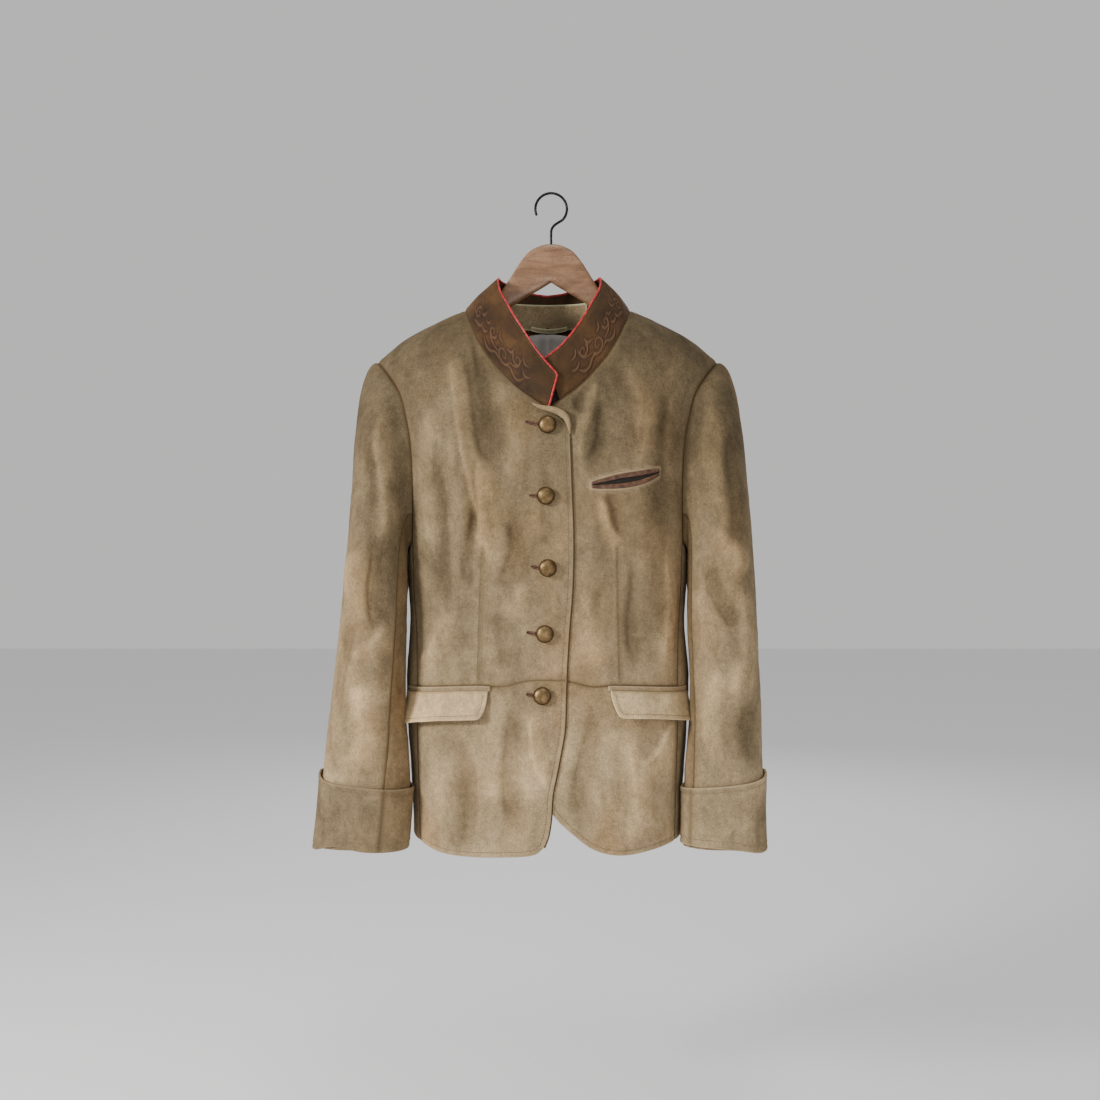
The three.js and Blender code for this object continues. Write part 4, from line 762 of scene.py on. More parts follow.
def speckled(name, roughness, scale, detail, stops, bump=None, spread=0.5, **sockets):
    """A finish whose colour follows one noise, with bump as (strength, distance) if it is rough."""
    finish, shader = new_finish(name, roughness, **sockets)
    place = node(finish, "TexCoord").outputs["Object"]
    cloud = node(finish, "TexNoise", [(place, "Vector")], Scale=scale, Detail=detail, Roughness=spread).outputs["Fac"]
    finish.node_tree.links.new(ramp(finish, cloud, stops), shader.inputs["Base Color"])
    if bump:
        bumped(finish, shader, cloud, *bump)
    return finish


# one suede in one dye lot; the copies differ in tone for the light each part gets: the flaps' copy, also used for the
# rolled corner, is lighter as painted light, and the sleeves, the under sleeves and the right cuff get darker copies as
# painted shade
suede = suede_finish("suede_beige")
suede_sleeve = suede_finish("suede_sleeve", tone=0.96, seed=0.37)
suede_under = suede_finish("suede_under_sleeve", tone=0.8, warmth=4, seed=0.9)
suede_cuff = suede_finish("suede_cuff_right", tone=0.77, warmth=1, seed=1.7)
suede_flap = suede_finish("suede_flap", tone=1.24, seed=2.3)
suede_cuff_left = suede_finish("suede_cuff_left", tone=1.0, seed=1.2)
thread_finish = speckled("thread_beige", 0.75, 1500.0, 2.0,
                         [(0.35, linear(84, 66, 42)), (0.65, linear(134, 112, 76))], (0.5, 0.0003), Sheen_Weight=0.2)
print("suede finishes:", [f.name for f in (suede, suede_sleeve, suede_under, suede_cuff, suede_flap)])

# %% [markdown]
# ## The pattern of the body
# Each body panel is bounded by seams and turned edges that a tailor would chalk on the suede. They are
# short tables of how far out from the middle front and how far down, on one half of the body.

# %% Seams and edges
NECK_POINT, SHOULDER_POINT = (99, 141), (204, 202)
FRONT_NECK = [(99, 141), (90, 165), (79.5, 188), (66, 209), (48, 230), (31, 246), (14, 258), (0, 267.5), (-25, 287)]
BACK_NECK = [(99, 141), (76, 152), (52, 158), (26, 161.4), (0, 162.4)]
FRONT_ARMHOLE = [(204, 202), (186, 224), (172, 247), (165.6, 271), (160.5, 298), (158.3, 324), (157.5, 354),
                 (157.8, 386), (158.5, 418)]
BACK_ARMHOLE = [(204, 202), (190, 226), (177, 251), (169, 277), (164.5, 304), (162, 332), (160.5, 361),
                (160, 390), (160, 418)]
FRONT_SIDE_SEAM = [(158.5, 418), (157, 475), (154, 521), (151.5, 577), (151, 640), (149, 700), (147, 770)]
BACK_SIDE_SEAM = [(160, 418), (158, 475), (155, 521), (156, 577), (154, 640), (151, 700), (148, 770)]
WAIST = [(-30, 575.5), (20, 575.5), (50, 582), (75, 581), (115, 583), (155, 586)]
FRONT_EDGE = {
    RIGHT: [(-25, 287), (-27, 350), (-29.3, 417), (-28.2, 473), (-24.8, 518), (-21.5, 575.5), (-19.6, 629),
            (-15, 656), (-10.6, 678), (-6, 700), (-4, 727), (-1, 745), (3.5, 757)],
    LEFT: [(-25, 287), (-23, 575.5), (-19, 640), (-10, 680), (-1, 708), (10.5, 727), (25, 741)],
}
HEM = {
    RIGHT: [(3.5, 757), (14, 765), (42, 768), (86, 769.5), (121, 768.5), (147, 762)],
    LEFT: [(25, 741), (47, 757.8), (69, 766), (90, 768), (122, 765), (147, 762)],
}
UNDERARM, UNDERARM_DIP, SIDE_HEM, BACK_HEM = 418, 19, 762, 752
waist_drop = through(*np.array(WAIST, float).T)
LAP = 1.2


def placed(marks, side, behind=False):
    """Marks out from the middle and down, as angles and unrolled lengths on the form."""
    out, drop = np.asarray(marks, float).T
    n = squareness(drop)
    u = np.minimum(np.abs(out) / half_width(drop), 0.9999)
    angle = np.arctan2(u, (1 - u**n) ** (1 / n)) * np.where(out < 0, -1, 1)
    angle = side * (np.pi - angle if behind else angle)
    return np.stack([angle, unrolled(angle, drop)], axis=1)


def down_seam(table, top, bottom, count=50):
    out = through([m[1] for m in table], [m[0] for m in table])
    drop = np.linspace(top, bottom, count)
    return np.stack([out(drop), drop], axis=1)


def across_seam(start, end, count=50):
    out = np.linspace(start, end, count)
    return np.stack([out, waist_drop(out)], axis=1)


def lap(side):
    """The right front lies over the left one."""
    return lambda points, places: -side * LAP * smooth_step((70 - points[:, 0] * side) / 40)


shoulder_out = np.linspace(NECK_POINT[0], SHOULDER_POINT[0], 40)
shoulder_seam = np.stack([shoulder_out, shoulder_drop(shoulder_out)], axis=1)
side_waist = float(waist_drop(151.5))
print("the waist seam lies", 575.5 - 141, "mm below the neck point")

# %% The rounds of the fronts
def front_round(side):
    edge = FRONT_EDGE[side]
    waist_end = float(waist_drop(-21.5 if side == RIGHT else -23))
    front_edge = down_seam(edge, 287, waist_end)
    waist = across_seam(front_edge[-1, 0], 151.5)
    side_seam = down_seam(FRONT_SIDE_SEAM, UNDERARM, side_waist)
    waist[-1] = side_seam[-1]
    neck = drawn(FRONT_NECK, 90)
    return [("seam", placed(neck, side)), ("free", placed(front_edge, side)), ("seam", placed(waist, side)),
            ("seam", placed(side_seam[::-1], side)), ("seam", placed(drawn(FRONT_ARMHOLE)[::-1], side)),
            ("seam", placed(shoulder_seam[::-1], side))]


def skirt_round(side):
    edge, hem = FRONT_EDGE[side], drawn(HEM[side], 80)
    waist_end = float(waist_drop(-21.5 if side == RIGHT else -23))
    front_edge = down_seam(edge, waist_end, edge[-1][1])
    waist = across_seam(front_edge[0, 0], 151.5)
    side_seam = down_seam(FRONT_SIDE_SEAM, side_waist, SIDE_HEM)
    waist[-1] = side_seam[0]
    hem[-1] = side_seam[-1]
    return [("free", placed(front_edge, side)), ("free", placed(hem, side)), ("seam", placed(side_seam[::-1], side)),
            ("seam", placed(waist[::-1], side))]


POCKET_TOP = drawn([(49.8, 351.8), (59, 348.3), (82, 342.2), (105, 338.2), (117, 336.2), (127.6, 335.2)], 60)
POCKET_FOOT = drawn([(49.8, 358.2), (59, 358.9), (82, 358.2), (105, 354.0), (117, 349.3), (127.6, 343.4)], 60)
pocket_round = placed(np.concatenate([POCKET_TOP, POCKET_FOOT[::-1], POCKET_TOP[:1]]), LEFT)

# %% Cutting the fronts and skirts
# A dart takes in the front from the chest to the waist.
DARTS = {RIGHT: drawn([(72.8, 424), (74, 462), (76.5, 530), (77.3, 577)], 120),
         LEFT: drawn([(79.6, 425), (80.2, 465), (81.2, 520), (82.5, 577)], 120)}
cloth = {}
for side, word in ((RIGHT, "right"), (LEFT, "left")):
    piece, area, cloth[f"front_{word}_upper"] = panel(
        f"suede_front_{word}", front_round(side), body_cloth, "body", lift=lap(side), finish=suede,
        dart=placed(DARTS[side], side), trim=pocket_round if side == LEFT else None)
    declare_cloth(piece, f"front_{word}_upper", area, (0.235, 0.465))
    piece, area, cloth[f"front_{word}_skirt"] = panel(
        f"suede_skirt_{word}", skirt_round(side), body_cloth, "body", lift=lap(side), finish=suede)
    declare_cloth(piece, f"front_{word}_skirt", area, (0.235, 0.205))

# %% Side panels and backs
def side_round(side):
    front = down_seam(FRONT_SIDE_SEAM, UNDERARM, SIDE_HEM, 80)
    back = down_seam(BACK_SIDE_SEAM, UNDERARM, 754, 80)
    front, back = placed(front, side), placed(back, side, True)
    t = np.linspace(0, 1, 40)[:, None]
    top = front[0] + (back[0] - front[0]) * t
    top[:, 1] = UNDERARM + UNDERARM_DIP * np.sin(np.pi * t[:, 0]) ** 0.8
    hem = front[-1] + (back[-1] - front[-1]) * t
    return [("seam", front), ("free", hem), ("seam", back[::-1]), ("seam", top[::-1])]


def back_round(side):
    armhole, seam = drawn(BACK_ARMHOLE), down_seam(BACK_SIDE_SEAM, UNDERARM, 754, 80)
    outer = placed(seam, side, True)
    t = np.linspace(0, 1, 60)
    hem = np.stack([outer[-1, 0] + (side * np.pi - outer[-1, 0]) * t, 754 + (BACK_HEM - 754) * t], axis=1)
    neck = placed(drawn(BACK_NECK[::-1]), side, True)
    centre = np.stack([np.full(80, side * np.pi), np.linspace(BACK_HEM, neck[0, 1], 80)], axis=1)
    return [("seam", placed(armhole, side, True)), ("seam", outer), ("free", hem), ("seam", centre),
            ("seam", neck), ("seam", placed(shoulder_seam, side, True))]


for side, word in ((RIGHT, "right"), (LEFT, "left")):
    piece, area, cloth[f"side_{word}"] = panel(f"suede_side_{word}", side_round(side), body_cloth, "body", finish=suede)
    declare_cloth(piece, f"side_{word}", area, (0.135, 0.36))
    piece, area, cloth[f"back_{word}"] = panel(f"suede_back_{word}", back_round(side), body_cloth, "body", finish=suede)
    declare_cloth(piece, f"back_{word}", area, (0.24, 0.64))

# %% [markdown]
# ## Sleeves
# A tailored sleeve is cut in two: a wide top sleeve and a narrower under sleeve, which takes a darker
# copy of the suede as painted shade where it turns towards the body. Its head is longer than the armhole
# and is eased into it, so it stands out a little before it drops. Each sleeve here is a bundle of curves:
# they leave the armhole sideways, bend over the head and meet the ovals of the arm. A ready-made tube
# bent with a lattice would give the arm, but not the head.

# %% The sleeves' measures
# Drop, outer and inner reach, middle depth, half depth, and the turn at which the front seam lies.
SLEEVE = {
    RIGHT: np.array([[455, 238, 161, -14, 68, 136], [510, 242.5, 163, -22, 62, 137], [560, 247, 163.5, -30, 57, 134],
                     [610, 252, 162.5, -36, 51, 129], [650, 256, 158.5, -41, 46, 123], [690, 260, 156, -45, 41, 117],
                     [735, 264, 158.5, -49, 36, 116], [780, 268, 164, -53, 32, 116]]),
    LEFT: np.array([[455, 243, 161, -14, 68, 148], [510, 245, 162, -22, 62, 152], [560, 246.5, 163.5, -30, 57, 153],
                    [610, 248, 163.5, -36, 51, 149], [650, 248.5, 160, -41, 46, 144], [690, 249, 156.5, -45, 41, 140],
                    [735, 249, 155, -49, 36, 140], [780, 250, 154.5, -53, 32, 140]]),
}
SEAM_BEHIND, SLEEVE_SQUARE, BICEPS, SLEEVE_END = 238, 2.3, 455, 766


# %% Once round the armhole
def armhole_ring(side):
    """Turns from 0 at the shoulder, 360 once round, with the points there and the two seams' turns."""
    front, back = placed(drawn(FRONT_ARMHOLE, 240), 1), placed(drawn(BACK_ARMHOLE, 240), 1, True)
    t = np.linspace(0, 1, 90)[1:-1]
    under = np.stack([front[-1, 0] + (back[-1, 0] - front[-1, 0]) * t,
                      UNDERARM + UNDERARM_DIP * np.sin(np.pi * t) ** 0.8], axis=1)
    marks = np.concatenate([front, under, back[::-1]])
    points = body_cloth(marks[:, 0] * side, marks[:, 1])[0]
    run = lengths(points)
    turns = run / run[-1] * 360
    low = -points[:, 2]
    first = turns[:240][np.argmin(np.abs(low[:240] - 386))]
    second = turns[-240:][np.argmin(np.abs(low[-240:] - 390))]
    return turns, points, first, second


def body_side(y, drop):
    n = squareness(drop)
    deep = np.where(y < middle(drop), depth_front(drop), depth_back(drop))
    return half_width(drop) * np.maximum(1 - (np.abs(middle(drop) - y) / deep) ** n, 0) ** (1 / n)


ring = {side: armhole_ring(side) for side in (RIGHT, LEFT)}
print("sleeve seams lie at turns", [round(float(v)) for v in ring[RIGHT][2:]])


# %% An oval of the arm, kept clear of the body
def arm_oval(side, drop, turn, lift=0.0):
    rows = SLEEVE[side]
    outer, inner, mid, deep, seam = (through(rows[:, 0], rows[:, k])(drop) for k in range(1, 6))
    first, second = ring[side][2:]
    angle = np.where(turn < first, turn * seam / first,
                     np.where(turn < second, seam + (SEAM_BEHIND - seam) * (turn - first) / (second - first),
                              SEAM_BEHIND + (360 - SEAM_BEHIND) * (turn - second) / (360 - second)))
    c, s = np.cos(np.radians(angle)), np.sin(np.radians(angle))
    r = (np.abs(c) ** SLEEVE_SQUARE + np.abs(s) ** SLEEVE_SQUARE) ** (-1 / SLEEVE_SQUARE)
    y = mid - (deep + lift) * s * r
    out = (outer + inner) / 2 + ((outer - inner) / 2 + lift) * c * r
    limit = body_side(y, drop) + 3.5 + 3 * np.clip((drop - 450) / 50, 0, 1) - lift
    kept = limit + 3 * np.log1p(np.exp(np.clip((out - limit) / 3, -30, 30)))
    return np.stack([side * np.where(out - limit > 24, out, kept), y, -drop + 0 * out], axis=-1)


def sleeve_line(side, turns, head, arm):
    """A grid of points: a line for each turn, over the head at each share and down the arm at each drop."""
    all_turns, points = ring[side][:2]
    start = np.stack([np.interp(turns, all_turns, points[:, k]) for k in range(3)], axis=1)
    start[:, 0] += side * 0.2
    end = arm_oval(side, BICEPS, turns)
    reach = np.linalg.norm(end - start, axis=1)
    up = np.clip(np.cos(np.radians(turns)), 0, 1) ** 4
    leave = np.zeros_like(start)
    leave[:, 0] = side * (reach * 0.45 * (1 - up) + 100 * up)
    arrive = unit(arm_oval(side, BICEPS + 10, turns) - end) * reach[:, None] * 0.95
    t = head[None, :, None]
    cap = (start[:, None] * (2 * t**3 - 3 * t * t + 1) + leave[:, None] * (t**3 - 2 * t * t + t)
           + end[:, None] * (3 * t * t - 2 * t**3) + arrive[:, None] * (t**3 - t * t))
    lower = arm_oval(side, arm[None, :], turns[:, None])
    return np.concatenate([cap, lower], axis=1)


def fine_ends(count, first=True, last=True, ratio=0.12):
    """Shares from 0 to 1, close together at the ends, where an edge has to be round."""
    shares = np.linspace(0, 1, count + 1)
    step = shares[1]
    extra = []
    if first:
        extra += [step * ratio, step * 3 * ratio, step * 6 * ratio]
    if last:
        extra += [1 - step * ratio, 1 - step * 3 * ratio, 1 - step * 6 * ratio]
    return np.sort(np.concatenate([shares, extra]))


# %% The skin of a grid, with its edges named
def grid_skin(points, kinds, part, thick, closed=False, flip=False, **more):
    """kinds names the first and last line and the first and last row: "seam", "free" or None."""
    normals = grid_normals(points, closed) * (-1 if flip else 1)
    edges = [points[0], points[-1], points[:, 0], points[:, -1]]
    away = {"seam": np.full(points.shape[:2], 99.0), "free": np.full(points.shape[:2], 99.0)}
    for kind, edge in zip(kinds, edges):
        if kind:
            line = np.concatenate([edge, edge[:1]]) if closed else edge
            away[kind] = np.minimum(away[kind], distance_to(points.reshape(-1, 3), line).reshape(points.shape[:2]))
    outer, inner, masks = skin(points, normals, away["seam"], away["free"], part, thick, **more)
    return outer, inner, masks, normals


def grid_piece(name, outer, inner, masks, finish, closed=False, flip=False):
    vertices, quads = grid_wall(outer, inner, closed)
    if flip:
        quads = [q[:, ::-1] for q in quads]
    values = {key: np.concatenate([v.ravel(), v.ravel()]) for key, v in masks.items()}
    return as_object(name, in_row(vertices), quads, finish, values)


# %% Top sleeves and under sleeves
head_shares, arm_drops = np.linspace(0, 1, 78) ** 1.12, np.linspace(BICEPS, SLEEVE_END, 106)[1:]
head_shares = np.sort(np.concatenate([head_shares, [head_shares[1] * 0.2, head_shares[1] * 0.5]]))
sleeves = {}
for side, word in ((RIGHT, "right"), (LEFT, "left")):
    first, second = ring[side][2:]
    flip = side == RIGHT
    wide = fine_ends(92)
    turns = (second - 360 + (first + 360 - second) * wide) % 360
    grid = sleeve_line(side, turns, head_shares, arm_drops)
    outer, inner, masks, normals = grid_skin(grid, ("seam", "seam", "seam", None), "sleeve", SUEDE, flip=flip)
    piece = grid_piece(f"suede_top_sleeve_{word}", outer, inner, masks, suede_sleeve, flip=flip)
    sleeves[side, "top"] = (outer, normals)
    area = grid_area(outer)
    declare_cloth(piece, f"top_sleeve_{word}", area, (0.32, 0.64))
    print("top sleeve", word, round(area * 1e4), "cm2")
    turns = first + (second - first) * fine_ends(34)
    grid = sleeve_line(side, turns, head_shares, arm_drops)
    outer, inner, masks, normals = grid_skin(grid, ("seam", "seam", "seam", None), "sleeve", SUEDE, flip=flip)
    piece = grid_piece(f"suede_under_sleeve_{word}", outer, inner, masks, suede_under, flip=flip)
    sleeves[side, "under"] = (outer, normals)
    area = grid_area(outer)
    declare_cloth(piece, f"under_sleeve_{word}", area, (0.17, 0.42))
    print("under sleeve", word, round(area * 1e4), "cm2")

# %% [markdown]
# ## Turned-back cuffs
# A cuff is a wide band of suede folded round the sleeve's end and stitched 6 mm inside its upper edge.
# It is a little wider than the arm and its lower edge waves, as a folded edge does that has been worn.

# %% Cuffs
CUFF_TOP = np.array([(0, 682), (45, 689), (100, 694), (180, 700), (270, 690), (360, 682)], float)
CUFF_HEM = {RIGHT: ([0, 40, 75, 120, 200, 300, 360], [770, 768, 762, 768, 770, 768, 770]),
            LEFT: ([0, 40, 75, 120, 200, 300, 360], [769, 771, 766, 763, 764, 768, 769])}
CUFF_WALL = 2.2
for side, word in ((RIGHT, "right"), (LEFT, "left")):
    flip = side == RIGHT
    turns = np.linspace(0, 360, 150, endpoint=False)
    shares = fine_ends(32)
    top = through(*CUFF_TOP.T)(turns)[:, None]
    hem = through(*CUFF_HEM[side])(turns)[:, None]
    drop = top + (hem - top) * shares[None]
    lift = 0.7 + CUFF_WALL + 1.2 * (1 - shares[None]) ** 2 + 0.5 * shares[None] ** 3
    grid = arm_oval(side, drop, turns[:, None] + 0 * drop, lift)
    to_seam = distance_to(grid.reshape(-1, 3), arm_oval(side, np.linspace(680, 772, 60), ring[side][2], 3.5))
    seam_dip = 0.9 * np.exp(-((to_seam.reshape(grid.shape[:2]) / 1.3) ** 2))
    seam_dip = seam_dip + 0.45 * np.exp(-(((drop - top - 6.0) / 0.9) ** 2)) - 0.5 * smooth_step((7 - drop + top) / 2)
    outer, inner, masks, normals = grid_skin(grid, (None, None, "free", "free"), "sleeve", CUFF_WALL, closed=True,
                                             flip=flip, more=-seam_dip, crease=0.8)
    # painted shade: the cuff is darkened along its seam
    masks["edge"] = np.exp(-to_seam.reshape(grid.shape[:2]) / 2.5)
    cuff_finish = suede_cuff if side == RIGHT else suede_cuff_left
    piece = grid_piece(f"suede_cuff_{word}", outer, inner, masks, cuff_finish, closed=True, flip=flip)
    sleeves[side, "cuff"] = (outer, normals, drop - top)
    area = grid_area(outer, True)
    declare_cloth(piece, f"cuff_{word}", area, (0.3, 0.09))
    print("cuff", word, round(area * 1e4), "cm2")

# %% [markdown]
# ## The stand collar
# The collar is brown nubuck, a grain leather that is sanded so finely that it looks like velvet but shows
# polished marks where it is rubbed. Scrolls are embossed in it with a heated plate: the ridges stand out
# half a millimetre and take a light polish, and the leather round them is pressed down and dark. The
# scrolls here are a plain leaf scroll of our own drawing. They are real relief in a fine grid, because
# the light has to catch their edges.

# %% Nubuck and piping
nubuck, nubuck_shader = new_finish("nubuck_brown", 0.72, Sheen_Weight=0.06, Sheen_Roughness=0.5,
                                   Specular_IOR_Level=0.22)
nubuck_shader.inputs["Sheen Tint"].default_value = linear(214, 170, 130)
place = node(nubuck, "TexCoord").outputs["Object"]
cloud = node(nubuck, "TexNoise", [(place, "Vector")], Scale=26.0, Detail=4.0, Roughness=0.6, Distortion=0.5)
grain = node(nubuck, "TexNoise", [(place, "Vector")], Scale=620.0, Detail=3.0, Roughness=0.7)
colour = ramp(nubuck, cloud.outputs["Fac"], [(0.3, linear(42, 28, 12)), (0.5, linear(62, 42, 20)),
                                             (0.68, linear(82, 56, 29))])
colour = mixed(nubuck, 1.0, colour, ramp(nubuck, grain.outputs["Fac"], [(0.3, (0.85, 0.85, 0.85, 1)),
                                                                      (0.7, (1.12, 1.12, 1.12, 1))]), "MULTIPLY")
colour = mixed(nubuck, mask(nubuck, "pressed"), colour, linear(50, 31, 20))
colour = mixed(nubuck, mask(nubuck, "raised"), colour, linear(108, 79, 54))
# painted shade: the edge mask darkens the collar along its foot seam
colour = mixed(nubuck, mask(nubuck, "edge"), colour, linear(52, 34, 22))
nubuck.node_tree.links.new(colour, nubuck_shader.inputs["Base Color"])
bumped(nubuck, nubuck_shader, grain.outputs["Fac"], 0.3, 0.0004)

piping_finish = speckled("piping_red", 0.5, 240.0, 3.0, [
    (0.35, linear(132, 24, 28)), (0.5, linear(168, 36, 40)), (0.66, linear(190, 62, 60))],
    (0.4, 0.0003), spread=0.6, Specular_IOR_Level=0.35)

# %% The collar's foot and its upper edge
COLLAR_TOP = {  # out, depth and drop of the upper edge, from the middle of the back to the front end
    RIGHT: [(0, 40, 116), (21, 37, 113.5), (42, 28, 108), (56, 12, 104.5), (60, -10, 105), (57, -27, 122),
            (49, -43, 139.5), (40, -55, 157), (28, -65, 177), (10, -74, 205), (-10.5, -79, 229.5)],
    LEFT: [(0, 40, 116), (21, 37, 113.5), (42, 28, 107.5), (58, 12, 104), (64.5, -10, 104.5), (62, -27, 121),
           (54, -43, 137.5), (44, -55, 157), (31, -63, 177), (15, -67.5, 196), (-5, -70.5, 212)],
}
COLLAR_WALL, COLLAR_BOW = 2.2, 2.5


def along(table, count):
    """The first rows of a table as a curve that is read by row number."""
    marks = np.asarray(table, float)
    run = lengths(marks)
    at_row = through(np.arange(len(marks)), run)
    curves = [through(run, marks[:, k]) for k in range(marks.shape[1])]
    return lambda row: np.stack([curve(at_row(np.clip(row, 0, count))) for curve in curves], axis=-1)


def collar_half(side, shares):
    """Foot and head points at shares from the middle of the back (0) to the front end (1)."""
    front_rows = 7 if side == RIGHT else 6
    back, front = along(BACK_NECK[::-1], 4), along(FRONT_NECK, 8)
    row = shares * (4 + front_rows)
    marks_back, marks_front = back(np.minimum(row, 4)), front(np.maximum(row - 4, 0))
    behind, ahead = placed(marks_back, side, True), placed(marks_front, side)
    at_back, _ = body_cloth(behind[:, 0], behind[:, 1])
    at_front, normal_front = body_cloth(ahead[:, 0], ahead[:, 1])
    lift = lap(side)(at_front, None)[:, None]
    is_back = (row < 4)[:, None]
    foot = np.where(is_back, at_back, at_front + normal_front * lift)
    top = np.asarray(COLLAR_TOP[side], float)
    at = shares * (len(top) - 1)
    head = np.stack([through(np.arange(len(top)), top[:, k])(at) for k in range(3)], axis=1)
    head = np.stack([side * head[:, 0], head[:, 1], -head[:, 2]], axis=1)
    return foot, head


def collar_points(across, up):
    """across runs from -1, the right front end, to 1, the left front end; up from 0 at the foot to 1."""
    foot, head = np.zeros((len(across), 3)), np.zeros((len(across), 3))
    for side in (RIGHT, LEFT):
        chosen = (across * side >= 0) if side == LEFT else (across < 0)
        foot[chosen], head[chosen] = collar_half(side, np.abs(across[chosen]))
    rise = unit(head - foot)
    start = foot + rise * 0.2
    outward = unit(start * [1, 1, 0])
    t = up[None, :, None]
    bow = COLLAR_BOW * np.sin(np.pi * t)
    return start[:, None] + (head - start)[:, None] * t + outward[:, None] * bow


# %% A leaf scroll of our own
def spiral(x, y, size, start, turns, hand):
    """A scroll's end, wound inwards from its outer turn."""
    t = np.linspace(0, 1, 30)
    angle = np.radians(start) + hand * turns * 2 * np.pi * t
    radius = size * (1 - 0.82 * t)
    return np.stack([x + radius * np.cos(angle), y + radius * np.sin(angle), 1.15 * (1 - 0.55 * t)], axis=1)


def leaf(x0, y0, x1, y1, bend, wide):
    """A curved leaf: thin, wide, thin."""
    t = np.linspace(0, 1, 14)
    dx, dy = x1 - x0, y1 - y0
    sway = bend * np.sin(np.pi * t)
    return np.stack([x0 + dx * t - dy * sway, y0 + dy * t + dx * sway, wide * (0.25 + 0.9 * np.sin(np.pi * t))], axis=1)


# millimetres along the collar from the middle of the motif, and up from its foot
MOTIF = [spiral(0, 17, 8.5, 200, 1.3, 1), spiral(-19, 25, 6.5, 20, 1.2, -1), spiral(20, 25, 6, 180, 1.1, 1),
         leaf(-8.5, 16, -25, 31, 0.25, 1.0), leaf(8, 15, 26, 30, -0.25, 1.0), leaf(-30, 13, -10, 12, -0.3, 1.3),
         leaf(30, 12, 11, 11, 0.28, 1.3), leaf(-27, 20, -38, 17, 0.3, 1.2), leaf(27, 20, 38, 17, -0.3, 1.2),
         leaf(-3, 26, -13, 34, 0.3, 1.1), leaf(3, 27, 11, 34, -0.3, 1.1), leaf(-36, 26, -27, 33, -0.3, 1.0),
         leaf(36, 25, 28, 32, 0.3, 1.0), leaf(-16, 9, -3, 8.5, 0.25, 1.0), leaf(15, 8.5, 4, 8.5, -0.25, 1.0)]
SMALL = [spiral(0, 19, 6.5, 90, 1.2, -1), leaf(5.5, 14, 14, 29, -0.3, 1.2), leaf(-5, 24, -12, 33, 0.3, 1.1),
         leaf(-6, 13, -14, 20, 0.35, 1.2), leaf(1, 29, 8, 35, -0.25, 1.0), leaf(-12, 9, 1, 8.5, 0.2, 1.0)]


def relief(along_mm, up_mm, strokes, middle_mm, mirror):
    """How far inside the strokes a place is: 1 on a stroke's middle, 0 away from it, and the pressed ground."""
    x, y = (along_mm - middle_mm) * mirror / 1.2, up_mm / 1.2
    raised, ground = np.zeros(x.shape), np.zeros(x.shape)
    near = (np.abs(x) < 48) & (y < 40)
    here = np.stack([x[near], y[near]], axis=1)
    for stroke in strokes:
        starts, steps = stroke[:-1], np.diff(stroke, axis=0)
        gap = here[:, None] - starts[None, :, :2]
        t = np.clip((gap * steps[:, :2]).sum(2) / (steps[:, :2] ** 2).sum(1), 0, 1)
        away = np.linalg.norm(gap - t[..., None] * steps[:, :2], axis=2)
        wide = starts[:, 2] + t * steps[:, 2]
        raised[near] = np.maximum(raised[near], np.exp(-((away / wide) ** 2) * 1.4).max(1))
        ground[near] = np.maximum(ground[near], np.exp(-(((away - wide * 1.9) / 1.1) ** 2)).max(1))
    return raised, ground * (1 - raised)


# %% Making the collar
across = np.linspace(-1, 1, 521)
up = fine_ends(50, ratio=0.2)
grid = collar_points(across, up)
run = lengths(grid[:, 25])
height = np.linalg.norm(grid[:, -1] - grid[:, 0], axis=1)[:, None] * up[None]
length = run[:, None] + 0 * height
raised, pressed = np.zeros(height.shape), np.zeros(height.shape)
for strokes, middle_mm, mirror in ((MOTIF, 78, 1), (MOTIF, run[-1] - 72, -1), (SMALL, 141, 1),
                                   (SMALL, run[-1] - 136, -1)):
    a, b = relief(length, height, strokes, middle_mm, mirror)
    raised, pressed = np.maximum(raised, a), np.maximum(pressed, b)
free = distance_to(grid.reshape(-1, 3), np.concatenate([grid[0], grid[:, -1], grid[-1][::-1]])).reshape(height.shape)
clear = smooth_step((free - 4) / 3)
raised, pressed = raised * clear, pressed * clear


def collar_edge(seam, free):
    return (1.0 * np.exp(-((seam / 1.4) ** 1.6)) + 0.8 * (1 - np.sqrt(1 - (1 - np.clip(free / 1.0, 0, 1)) ** 2))
            + 0.3 * np.exp(-(((free - 2.6) / 0.7) ** 2)))


outer, inner, masks, collar_normals = grid_skin(
    grid, ("free", "free", "seam", "free"), None, COLLAR_WALL, flip=True, edge_shape=collar_edge,
    more=0.7 * raised - 0.4 * pressed)
masks.update(raised=raised * 0.55, pressed=pressed * 0.75, edge=masks["edge"] * 0.8)
collar_piece = grid_piece("nubuck_collar", outer, inner, masks, nubuck, flip=True)
collar_outer = outer
declare_cloth(collar_piece, "collar", grid_area(outer), (0.52, 0.075))
print("collar", round(float(run[-1])), "mm along its middle,", round(grid_area(outer) * 1e4), "cm2")


# %% [markdown]
# ## Cords, piping and bars
# Piping is a thin cord wrapped in a strip of red leather and caught between the collar's two layers. It
# is a round bar that follows the edge. The same bar makes buttonhole lips and seam allowances.

